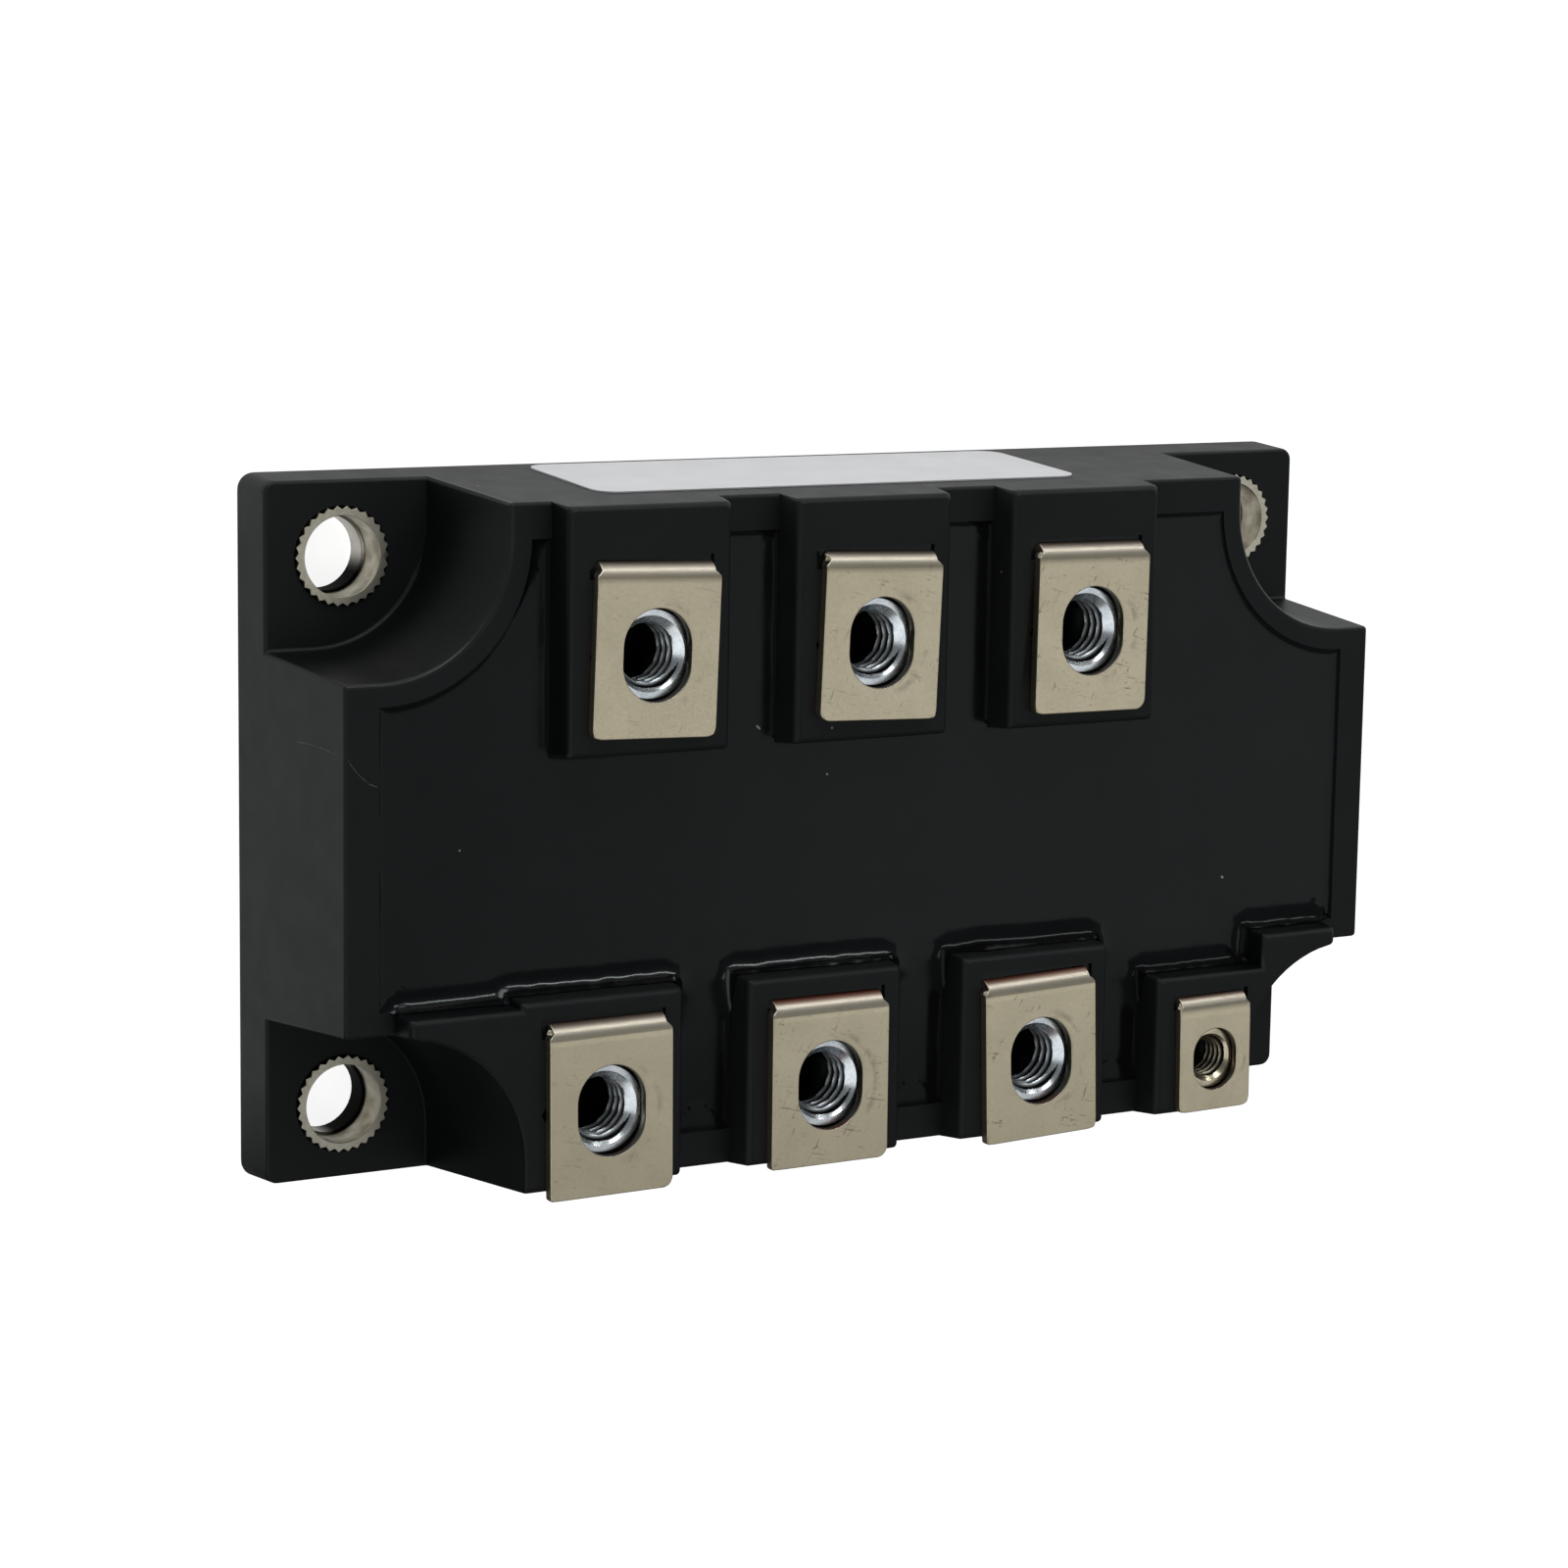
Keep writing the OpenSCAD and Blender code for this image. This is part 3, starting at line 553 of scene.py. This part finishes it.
def fired_ceramic():
    made, tree, shader = new_material("fired_ceramic")
    tone = ramp(tree, grain(tree, 2, 3), (0.3, (0.80, 0.78, 0.72)), (0.7, (0.87, 0.85, 0.80)))
    relief = bump(tree, grain(tree, 0.2, 2), 0.003)
    feed(tree, shader, {"Base Color": tone, "Roughness": 0.55, "Normal": relief})
    return made


def clear_gel():
    made, tree, shader = new_material("clear_gel")
    tone = ramp(tree, grain(tree, 8, 2), (0.3, (0.86, 0.89, 0.91)), (0.7, (0.92, 0.94, 0.95)))
    feed(tree, shader, {"Base Color": tone, "Roughness": 0.08, "Transmission Weight": 0.9, "IOR": 1.41})
    return made


FINISHES = {
    "case": moulded_plastic(),
    "resin": cast_resin(),
    "gel": clear_gel(),
    "label": label_film(),
    "base_plate": metal("nickel_plate", (0.50, 0.48, 0.43), (0.60, 0.58, 0.52), (0.3, 0.42), (1, 12, 1)),
    "terminal": tinned_copper(),
    # The sleeves' tops get a painted highlight: a lighter tone where they face up
    "sleeve": metal("knurled_nickel", (0.22, 0.19, 0.125), (0.46, 0.435, 0.34), (0.3, 0.4), (1, 1, 6),
                    polished=(0.62, 0.60, 0.49)),
    "nut": metal("zinc_plate", (0.56, 0.62, 0.66), (0.76, 0.81, 0.84), (0.2, 0.3)),
    "brass": metal("turned_brass", (0.42, 0.38, 0.27), (0.60, 0.55, 0.42), (0.18, 0.28), (1, 1, 6)),
    "copper": metal("bare_copper", (0.62, 0.32, 0.2), (0.74, 0.42, 0.28), (0.3, 0.42)),
    "ceramic": fired_ceramic(),
    "silicon": metal("polished_silicon", (0.22, 0.23, 0.26), (0.3, 0.31, 0.35), (0.12, 0.2)),
}
SLOT_OF = {row["node"]: row["material_slot"] for row in frame["record"]["subparts"]}


# Pieces

def dress(piece, slot_name):
    """Gives a piece the finish of a slot."""
    piece.data.materials.clear()
    piece.data.materials.append(FINISHES[slot_name])


def to_object(name, made):
    """An object of the scene from a mesh in the making, which is used up."""
    mesh = bpy.data.meshes.new(name)
    made.to_mesh(mesh)
    made.free()
    piece = bpy.data.objects.new(name, mesh)
    bpy.context.scene.collection.objects.link(piece)
    return piece


def new_piece(name, made, node):
    """A piece that stands for a node of the frame and takes over its finish."""
    piece = to_object(name, made)
    piece.data.shade_smooth()
    piece.data.set_sharp_from_angle(angle=SHARP_ANGLE)
    dress(piece, SLOT_OF[node])
    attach(piece, "root")
    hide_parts(node)
    return piece


def box_mm(node):
    """Lower and upper corner of a node's box, in millimetres."""
    return [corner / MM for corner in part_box(node)]


def solid_of(node):
    """The node's own solid as one closed mesh with plain flat faces."""
    made = bmesh.new()
    made.from_mesh(nodes[node].data)
    bmesh.ops.remove_doubles(made, verts=made.verts, dist=WELD)
    bmesh.ops.dissolve_degenerate(made, edges=made.edges, dist=THIN)
    bmesh.ops.dissolve_limit(made, angle_limit=FLAT_ANGLE, verts=made.verts, edges=made.edges)
    return made


def is_sharp(edge):
    return len(edge.link_faces) == 2 and edge.calc_face_angle() > SHARP_ANGLE


def at_foot(edge):
    """Whether a sharp edge lies in the foot of a screw-head notch."""
    return not edge.is_convex and all(abs(v.co.z / MM - EAR_TOP) < FOOT_EDGE_NEAR for v in edge.verts)


def rounds(edge, mouths):
    """Whether an edge gets a rounding.

    All sharp outer edges do, and the foot of an upper notch where its wall faces +Y. The upper edges of
    upright walls stay sharp, as at the mouths of holes, unless these are asked for.
    """
    if not is_sharp(edge):
        return False
    rises = [f.normal.z for f in edge.link_faces]
    if not mouths and max(rises) > LEVEL_FACE and min(abs(r) for r in rises) < UPRIGHT_FACE:
        return False
    return edge.is_convex or (at_foot(edge) and max(f.normal.y for f in edge.link_faces) > FOOT_FACE)


def bevel(made, edges, width_mm):
    """Rounds edges, and returns the faces of the rounding."""
    return bmesh.ops.bevel(made, geom=edges, offset=width_mm * MM, segments=ROUND_STEPS, profile=0.5,
                           affect="EDGES", clamp_overlap=False)["faces"]


def how_worn_and_lit(face):
    """How worn a rounded edge is and how strong its painted highlight: more towards +Y, less at the
    notches' feet, on bosses and to the left.
    """
    at = face.calc_center_median() / MM
    lit_and_rubbed = within(WORN_LIT_MIDDLE + at.y / WORN_LIT_SPAN)
    if abs(at.z - EAR_TOP) < FOOT_NEAR:
        lit_and_rubbed *= WORN_LIT_FOOT
    if at.z > BOSS_EDGE:
        lit_and_rubbed *= WORN_LIT_BOSS
    if face.normal.x < LEFT_FACE:
        lit_and_rubbed *= WORN_LIT_LEFT
    return lit_and_rubbed


def plate_of(node):
    """A plate's sizes, the corners of its box and the middle of its hole at height 0, in millimetres."""
    plate = GATE_PLATE if node == "terminal_gate" else MAIN_PLATE
    low, high = box_mm(node)
    return plate, low, high, Vector(((low.x + high.x) / 2, high.y - plate[0], 0))


def ease_fold(made, node):
    """Lets the sheet curve a little before its fold, as bent sheet does."""
    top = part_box(node)[1].z
    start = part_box(node)[1].y / MM - FOLD_RADIUS - FOLD_EASE
    for step in range(FOLD_CUTS):
        near = [f for f in made.faces if max(v.co.z for v in f.verts) > top - FOLD_CUT_DEPTH * MM]
        edges = dict.fromkeys(e for f in near for e in f.edges)
        verts = dict.fromkeys(v for f in near for v in f.verts)
        cut = (start + step * FOLD_EASE / (FOLD_CUTS - 1)) * MM
        bmesh.ops.bisect_plane(made, geom=[*near, *edges, *verts], plane_co=(0, cut, 0), plane_no=(0, 1, 0))
    for vert in made.verts:
        run = vert.co.y / MM - start
        if run > 0:
            curve = min(run, FOLD_EASE)
            drop = FOLD_SLOPE * (curve * curve / (2 * FOLD_EASE) + run - curve)
            share = within(((vert.co.z - top) / MM + FOLD_STILL) / FOLD_BLEND)
            vert.co.z -= drop * share * MM


def shape_plate(made, node):
    """Turns, shifts and clips a folded plate a little, and marks painted shade on its hole's wall, its bare
    fold and its scuffs.
    """
    turn, shift, longer, left, right, copper, use = PLATES[node]
    (_, hole_w, hole_l, corner), low, high, middle = plate_of(node)
    half = (high.x - low.x) / 2
    clear = hole_l + HOLE_CLEAR
    painted_shade = made.verts.layers.float.new("painted_shade")
    bare = made.verts.layers.float.new("bare")
    scuffed = made.verts.layers.float.new("scuffed")
    about = made.verts.layers.float_vector.new("about")
    for vert in made.verts:
        spot = vert.co / MM - middle
        vert[bare] = copper
        vert[scuffed] = use
        vert[about] = Vector((spot.x, spot.y, 0)) / (RUB_SPAN * hole_l)
        # Painted shade down the hole's wall, darker with depth
        if abs(spot.x) < hole_w + HOLE_SLACK and abs(spot.y) < hole_l + HOLE_SLACK:
            vert[painted_shade] = min(1.0, HOLE_SHADE * (high.z - spot.z))
        past_end = low.y - middle.y + corner - spot.y
        past_side = abs(spot.x) - half + corner
        if past_end > 0 and past_side > 0:
            square = left if spot.x < 0 else right
            grow = math.hypot(past_end, past_side) / max(past_end, past_side) - 1
            spot.y -= past_end * grow * square
            spot.x += math.copysign(past_side * grow * square, spot.x)
        if spot.y < -clear:
            spot.y -= longer * (-clear - spot.y) / (middle.y - low.y - clear)
        share = within((spot.z - LEG_STILL) / LEG_BLEND)
        spot = Matrix.Rotation(math.radians(turn * share), 3, "Z") @ spot
        spot.x += shift * share
        vert.co = (spot + middle) * MM


def leave_burr(node):
    """A small lump of metal where the sheet was sheared and folded."""
    turn, shift, *_ = PLATES[node]
    radius, before = BURRS[node]
    _, low, high, middle = plate_of(node)
    height = high.z - FOLD_SLOPE * FOLD_EASE - radius * BURR_SINK
    at = Vector((low.x + radius * BURR_IN, high.y - before, height))
    at = Matrix.Rotation(math.radians(turn), 3, "Z") @ (at - middle) + middle + Vector((shift, 0, 0))
    made = bmesh.new()
    bmesh.ops.create_icosphere(made, subdivisions=3, radius=radius * MM)
    for vert in made.verts:
        vert.co *= 1 + BURR_RAGGED * noise.noise(vert.co / MM * BURR_FINE + at)
        vert.co.y *= BURR_STRETCH
    bmesh.ops.translate(made, verts=made.verts, vec=at * MM)
    piece = to_object(node + "_burr", made)
    piece.data.shade_smooth()
    dress(piece, SLOT_OF[node])
    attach(piece, "root")


def bush_boxes():
    return [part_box(name) for name in nodes if name.startswith("sleeve")]


def mark_notches(made, rounded):
    """Marks the walls of the screw-head notches, which the mould leaves smoother and which get a painted
    shade.
    """
    notch = made.faces.layers.float.new("notch")
    middles = [((low + high) / 2).xy for low, high in bush_boxes()]
    for face in made.faces:
        at = face.calc_center_median()
        near = min((at.xy - middle).length for middle in middles) < NOTCH_REACH * MM
        above = at.z > (EAR_TOP + FOOT_NEAR) * MM
        if near and above and abs(face.normal.z) < STEEP_FACE and face not in rounded:
            face[notch] = 1.0


def shade_mount_holes(made):
    """Marks a painted shade on one side of each mounting hole's wall: towards -Y on the upper holes, and
    towards
    +X and a little -Y on the lower ones.
    """
    painted_shade = made.verts.layers.float.new("painted_shade")
    bushes = bush_boxes()
    for vert in made.verts:
        for low, high in bushes:
            away = (vert.co - (low + high) / 2).xy
            if away.length < (high.x - low.x) / 2:
                side = SHADE_UPPER if low.y > 0 else SHADE_LOWER
                # Painted shade on the side of the wall that faces that way
                darkness = SHADE_GROWTH * away.normalized().dot(side) - SHADE_OFF
                vert[painted_shade] = min(1.0, max(SHADE_LEAST, darkness))


def soften(node, width_mm):
    """The node's solid with its sharp edges rounded, the bends of its making and use, and marks for its wear,
    painted highlights and painted shade.
    """
    made = solid_of(node)
    wear_and_highlight = made.faces.layers.float.new("wear_and_highlight")
    if node == "case":
        bevel(made, [e for e in made.edges if is_sharp(e) and at_foot(e) and e.verts[0].co.y < 0], FOOT_ROUND)
    rounded = bevel(made, [e for e in made.edges if rounds(e, node != "case")], width_mm)
    for face in rounded:
        # Wear and painted highlight on the rounded edges
        face[wear_and_highlight] = how_worn_and_lit(face)
    if node == "case":
        mark_notches(made, set(rounded))
    if node == "base_plate":
        shade_mount_holes(made)
    if node.startswith("terminal"):
        ease_fold(made, node)
        shape_plate(made, node)
    piece = new_piece(node + "_soft", made, node)
    weighted = piece.modifiers.new("even_shading", "WEIGHTED_NORMAL")
    weighted.keep_sharp = True


def thread_depth(angle, z, pitch):
    """How deep the thread is there, from 0 on its crest to 1 at its root."""
    turn = (z / pitch - angle / math.tau) % 1.0
    return within((abs(2 * turn - 1) - THREAD_FLAT) / (1 - 2 * THREAD_FLAT))


def threaded_ring(name, node, thread, mouth, outline):
    """A nut or insert with a real thread, and painted shade in the thread's roots and over its outer faces.
    outline gives its outer profile at an angle, from the top down.
    """
    crest, depth, pitch = thread
    low, high = box_mm(node)
    middle = (low + high) / 2
    rows = round((high.z - low.z) / pitch * THREAD_ROWS)
    made = bmesh.new()
    painted_shade = made.verts.layers.float.new("painted_shade")
    grid = []
    for column in range(THREAD_COLUMNS):
        angle = math.tau * column / THREAD_COLUMNS
        profile = []
        for row in range(rows + 1):
            z = low.z + (high.z - low.z) * row / rows
            deep = thread_depth(angle, z - low.z, pitch)
            flare = max(crest + THREAD_FOOT - (z - low.z), mouth - (high.z - z))
            r = crest + depth * deep
            # Painted shade in the thread, growing from its crest to its root
            profile.append((max(r, flare), z, min(1.0, THREAD_SHADE * deep) if r > flare else 0.0))
        # A ring round the mouth is left unshaded; the top beyond it and the outer faces get full painted
        # shade
        unshaded_from = mouth + UNSHADED_TOP
        profile += [(unshaded_from, high.z, 0.0), (unshaded_from + UNSHADED_BORDER, high.z, 1.0)]
        profile += [(r, z, 1.0) for r, z in outline(angle, low.z, high.z)]
        ring = []
        for r, z, darkness in profile:
            spot = Vector((middle.x + r * math.cos(angle), middle.y + r * math.sin(angle), z))
            vert = made.verts.new(spot * MM)
            vert[painted_shade] = darkness
            ring.append(vert)
        grid.append(ring)
    count = len(grid[0])
    for here, there in zip(grid, grid[1:] + grid[:1]):
        for row in range(count):
            above = (row + 1) % count
            made.faces.new((here[row], here[above], there[above], there[row]))
    bmesh.ops.recalc_face_normals(made, faces=made.faces)
    new_piece(name, made, node)


def hexagon(angle, low, high):
    """Outer profile of a chamfered hexagon nut, with its corners along X."""
    sixth = math.pi / 3
    across = NUT_FLAT / math.cos(angle % sixth - sixth / 2)
    face = NUT_FLAT * NUT_CHAMFER
    drop = (across - face) * math.tan(math.pi / 6)
    return [(face, high), (across, high - drop), (across, low + drop), (face, low)]


def round_insert(angle, low, high):
    """Outer profile of the turned insert with its broken edges, the same at each angle."""
    inner = INSERT_RADIUS - INSERT_EDGE
    side = [(INSERT_RADIUS, high - INSERT_EDGE), (INSERT_RADIUS, low + INSERT_EDGE)]
    return [(inner, high), *side, (inner, low)]


def top_loop(node):
    """Outline of a node's flat top, as points in order, and its height."""
    made = solid_of(node)
    top = max(v.co.z for v in made.verts)
    flat = {f for f in made.faces if all(abs(v.co.z - top) < WELD for v in f.verts)}
    border = {e for e in made.edges if len(flat.intersection(e.link_faces)) == 1}
    edge = min(border, key=lambda e: e.index)
    corner = edge.verts[0]
    points = []
    while edge is not None:
        points.append(corner.co.xy.copy())
        border.discard(edge)
        corner = edge.other_vert(corner)
        edge = next((e for e in corner.link_edges if e in border), None)
    made.free()
    return points, top


def in_steps(points):
    """A closed outline cut into short steps."""
    border = []
    for here, there in zip(points, points[1:] + points[:1]):
        parts = max(1, math.ceil((there - here).length / (OUTLINE_STEP * MM)))
        border += [here.lerp(there, i / parts) for i in range(parts)]
    return border


def ways_in(starts, stops):
    """The way into a closed outline at each of its points."""
    turning = (starts[:, 0] * stops[:, 1] - stops[:, 0] * starts[:, 1]).sum()
    tangents = stops - np.roll(starts, 1, axis=0)
    inward = np.stack([-tangents[:, 1], tangents[:, 0]], 1) * (1 if turning > 0 else -1)
    return inward / np.linalg.norm(inward, axis=1)[:, None]


def nearest(spots, starts, stops):
    """Distance of each spot to an outline, and which of its steps is the nearest."""
    runs = stops - starts
    away = spots[:, None, :] - starts[None, :, :]
    share = np.clip((away * runs).sum(2) / (runs ** 2).sum(1), 0, 1)
    gap = np.linalg.norm(away - share[..., None] * runs, axis=2)
    return gap.min(1), gap.argmin(1)


def crosses(spot, starts, stops):
    """Whether a spot lies inside an outline."""
    x, y = spot
    spans = (starts[:, 1] > y) != (stops[:, 1] > y)
    a, b = starts[spans], stops[spans]
    at = a[:, 0] + (y - a[:, 1]) / (b[:, 1] - a[:, 1]) * (b[:, 0] - a[:, 0])
    return (at > x).sum() % 2 == 1


def surface_points(starts, stops, inward, low, high):
    """Points of the resin's surface: its outline, rings along it, and a grid within them."""
    spots = [starts]
    for ring_mm in RINGS:
        ring = starts + inward * ring_mm * MM
        gap, _ = nearest(ring, starts, stops)
        spots.append(ring[gap > RING_KEEP * ring_mm * MM])
    pitch = FIELD_PITCH * MM
    xs = np.arange(low.x + pitch, high.x, pitch)
    ys = np.arange(low.y + pitch, high.y, pitch)
    field = np.array([(x, y) for x in xs for y in ys])
    gap, _ = nearest(field, starts, stops)
    inside = np.array([crosses(p, starts, stops) for p in field])
    spots.append(field[(gap > FIELD_FROM * MM) & inside])
    return [Vector(p) for p in np.concatenate(spots)]


def climb(spot, inward, low, high):
    """How far the resin climbs at a place on its outline and how soon it falls.

    It climbs most along the lower bosses.
    """
    x, y = spot.x / MM, spot.y / MM
    edge = WALL_NEAR * MM
    on_wall = min(spot.x - low.x, high.x - spot.x, spot.y - low.y, high.y - spot.y) < edge
    on_notch = y > 0 and abs(x) > NOTCH_FROM
    front = LOWER_FACE if x < GATE_LEFT else GATE_FACE
    fade = within((front - y) / CLIMB_FADE)
    inset = min(spot.x - low.x, high.x - spot.x) / MM
    fade = max(fade, 1.0 - min(1.0, inset / CLIMB_END))
    rise, reach = (a + fade * (b - a) for a, b in zip(CLIMB_LOWER, CLIMB_SIDE))
    if y > 0:
        rise, reach = CLIMB_SIDE if inward[0] < INTO_LEFT else CLIMB_UPPER
    if on_wall or on_notch:
        rise, reach = CLIMB_RIM
        if spot.y - low.y < edge:
            rise, reach = CLIMB_FOOT
        if spot.x - low.x < edge:
            rise, reach = CLIMB_LEFT
    waves = [weight * noise.noise(Vector((x * fine, y * fine, at))) for fine, at, weight in UNEVEN_WAVES]
    return rise * (1 + UNEVEN * sum(waves)), reach


def film_share(x, lift):
    """How much of the film's gloss there is at a place along X, where the resin has climbed that far."""
    full = within((lift - FILM_FROM) / FILM_SPAN)
    right = within((x - FILM_BRIGHT_TO) / (FILM_DULL_FROM - FILM_BRIGHT_TO))
    return full * (1.0 + right * (FILM_DULL - 1.0))


def cast_filling():
    """The resin with its climb up the walls, over the outline of its solid."""
    points, top = top_loop("potting")
    low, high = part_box("potting")
    border = in_steps(points)
    starts = np.array([p[:] for p in border])
    stops = np.roll(starts, -1, axis=0)
    inward = ways_in(starts, stops)
    flat = surface_points(starts, stops, inward, low, high)
    ring = [(i, (i + 1) % len(border)) for i in range(len(border))]
    corners, _, faces, *_ = geometry.delaunay_2d_cdt(flat, ring, [], 1, SAME_POINT)
    gap, best = nearest(np.array([c[:] for c in corners]), starts, stops)
    made = bmesh.new()
    film = made.verts.layers.float.new("film")
    verts = []
    for corner, away, index in zip(corners, gap, best):
        rise, reach = climb(border[index], inward[index], low, high)
        lift = rise * math.exp(-(away / MM / reach))
        wave = WAVE_HEIGHT * noise.noise(Vector((corner.x, corner.y, 0)) * WAVE_FINE)
        vert = made.verts.new((corner.x, corner.y, top + (lift + wave) * MM))
        vert[film] = film_share(corner.x / MM, lift)
        verts.append(vert)
    for face in faces:
        made.faces.new([verts[i] for i in face])
    rim = [e for e in made.edges if e.is_boundary]
    skirt = bmesh.ops.extrude_edge_only(made, edges=rim)["geom"]
    for vert in (g for g in skirt if isinstance(g, bmesh.types.BMVert)):
        vert.co.z = low.z
    bmesh.ops.holes_fill(made, edges=[e for e in made.edges if e.is_boundary], sides=0)
    bmesh.ops.recalc_face_normals(made, faces=made.faces)
    fill_slots(made)
    new_piece("potting_cast", made, "potting")


def fill_slots(made):
    """Adds the resin that has risen beside the legs, in the slots of the bosses."""
    for node in PLATES:
        half, inside, outside = GATE_SLOT if node == "terminal_gate" else MAIN_SLOT
        low, high = box_mm(node)
        size = Vector((2 * half, inside + outside, SLOT_FILL))
        top = Vector(((low.x + high.x) / 2, high.y + (outside - inside) / 2, BOSS_TOP - SLOT_SINK))
        block = bmesh.ops.create_cube(made, size=1.0)["verts"]
        bmesh.ops.scale(made, vec=size * MM, verts=block)
        bmesh.ops.translate(made, vec=(top - Vector((0, 0, SLOT_FILL / 2))) * MM, verts=block)


def draw_scratch():
    """A fine pale line along the scratch, just proud of the plastic."""
    made = bmesh.new()
    spots = [Vector(spot) for spot in SCRATCH]
    pairs = []
    for before, spot, after in zip(spots[:1] + spots, spots, spots[1:] + spots[-1:]):
        run = (after - before).normalized()
        out = Vector((0, 0, 1)) if spot.z > SCRATCH_ON_RIM else LEFT_WALL
        side = run.cross(out).normalized() * SCRATCH_HALF
        pairs.append([made.verts.new((spot + out * SCRATCH_PROUD + s) * MM) for s in (-side, side)])
    for (a, b), (c, d) in zip(pairs, pairs[1:]):
        made.faces.new((a, b, d, c))
    piece = to_object("case_scratch", made)
    piece.data.materials.append(scraped_plastic())
    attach(piece, "root")


for name, node in nodes.items():
    dress(node, SLOT_OF[name])
    kind = name.split("_")[0] if name.startswith(("terminal", "sleeve")) else name
    if kind in EDGE_ROUND:
        soften(name, EDGE_ROUND[kind])
    elif name.startswith("nut_"):
        threaded_ring(name + "_threaded", name, NUT_THREAD, NUT_MOUTH, hexagon)
threaded_ring("gate_insert_threaded", "gate_insert", GATE_THREAD, GATE_MOUTH, round_insert)
for name in BURRS:
    leave_burr(name)
cast_filling()
draw_scratch()


# Stage

def seen(tree, brightness):
    """Brightness for rays from the camera and through glass, and 0 for light on surfaces."""
    path = add(tree, "ShaderNodeLightPath")
    clear = calculate(tree, "MAXIMUM", path.outputs["Is Camera Ray"], path.outputs["Is Transmission Ray"])
    return calculate(tree, "MULTIPLY", clear, brightness)


def floor_paint():
    """Pale paint. Reflections show it dark towards -Y and light towards +Y, a painted shadow of the part."""
    paint = bpy.data.materials.new("pale_floor")
    paint.use_nodes = True
    tree = paint.node_tree
    tree.nodes.clear()
    matt = add(tree, "ShaderNodeBsdfDiffuse", {"Color": colour(0.8)})
    light = add(tree, "ShaderNodeEmission", {"Strength": seen(tree, FLOOR_GLOW)})
    plain = add(tree, "ShaderNodeAddShader", {0: matt.outputs[0], 1: light.outputs[0]})
    # Painted shadow in reflections of the floor: darker towards -Y
    across = graded(tree, along(tree, place(tree), "Y"), -SHEEN_HALF, SHEEN_HALF, 0.0, 1.0)
    sheen = add(tree, "ShaderNodeEmission", {"Color": ramp(tree, across, *SHEEN)})
    reflected = add(tree, "ShaderNodeLightPath").outputs["Is Glossy Ray"]
    both = add(tree, "ShaderNodeMixShader", {0: reflected, 1: plain.outputs[0], 2: sheen.outputs[0]})
    add(tree, "ShaderNodeOutputMaterial", {"Surface": both.outputs[0]})
    return paint


def make_floor():
    made = bmesh.new()
    corners = ((-1, -1), (1, -1), (1, 1), (-1, 1))
    made.faces.new([made.verts.new((x * FLOOR_HALF, y * FLOOR_HALF, -FLOOR_DROP * MM)) for x, y in corners])
    floor = to_object("floor", made)
    floor.data.materials.append(floor_paint())


def make_world():
    """White for the camera, and a dim soft light for everything else."""
    world = bpy.data.worlds.new("studio")
    bpy.context.scene.world = world
    world.use_nodes = True
    tree = world.node_tree
    tree.nodes.clear()
    camera_ray = add(tree, "ShaderNodeLightPath").outputs["Is Camera Ray"]
    soft = add(tree, "ShaderNodeBackground", {"Color": (0.2, 0.2, 0.205, 1), "Strength": 1.0})
    white = add(tree, "ShaderNodeBackground", {"Color": (1, 1, 1, 1), "Strength": 1.0})
    chosen = add(tree, "ShaderNodeMixShader", {0: camera_ray, 1: soft.outputs[0], 2: white.outputs[0]})
    add(tree, "ShaderNodeOutputWorld", {"Surface": chosen.outputs[0]})


def make_light(name, towards, wide, tall, radiance):
    """A soft box of that size and brightness, square on to the part, with its width at right angles to Y."""
    light = bpy.data.lights.new(name, "AREA")
    light.shape = "RECTANGLE"
    light.size = wide
    light.size_y = tall
    light.energy = radiance * math.pi * wide * tall
    made = bpy.data.objects.new(name, light)
    back = Vector(towards).normalized()
    level = Vector((0, 1, 0)).cross(back).normalized()
    axes = Matrix((level, back.cross(level), back)).transposed()
    made.matrix_world = Matrix.Translation(back * LIGHT_AWAY) @ axes.to_4x4()
    bpy.context.scene.collection.objects.link(made)


def make_camera():
    lens = bpy.data.cameras.new("camera")
    lens.lens = CAMERA_LENS
    lens.clip_start = CAMERA_NEAR
    lens.clip_end = CAMERA_FAR
    made = bpy.data.objects.new("camera", lens)
    axes = Matrix((CAMERA_RIGHT, CAMERA_UP, CAMERA_RIGHT.cross(CAMERA_UP))).transposed()
    made.matrix_world = Matrix.Translation(CAMERA_PLACE * MM) @ axes.to_4x4()
    bpy.context.scene.collection.objects.link(made)
    bpy.context.scene.camera = made


make_floor()
make_world()
for name, box in LIGHTS.items():
    make_light(name, *box)
make_camera()
bpy.context.scene.view_settings.view_transform = "Standard"
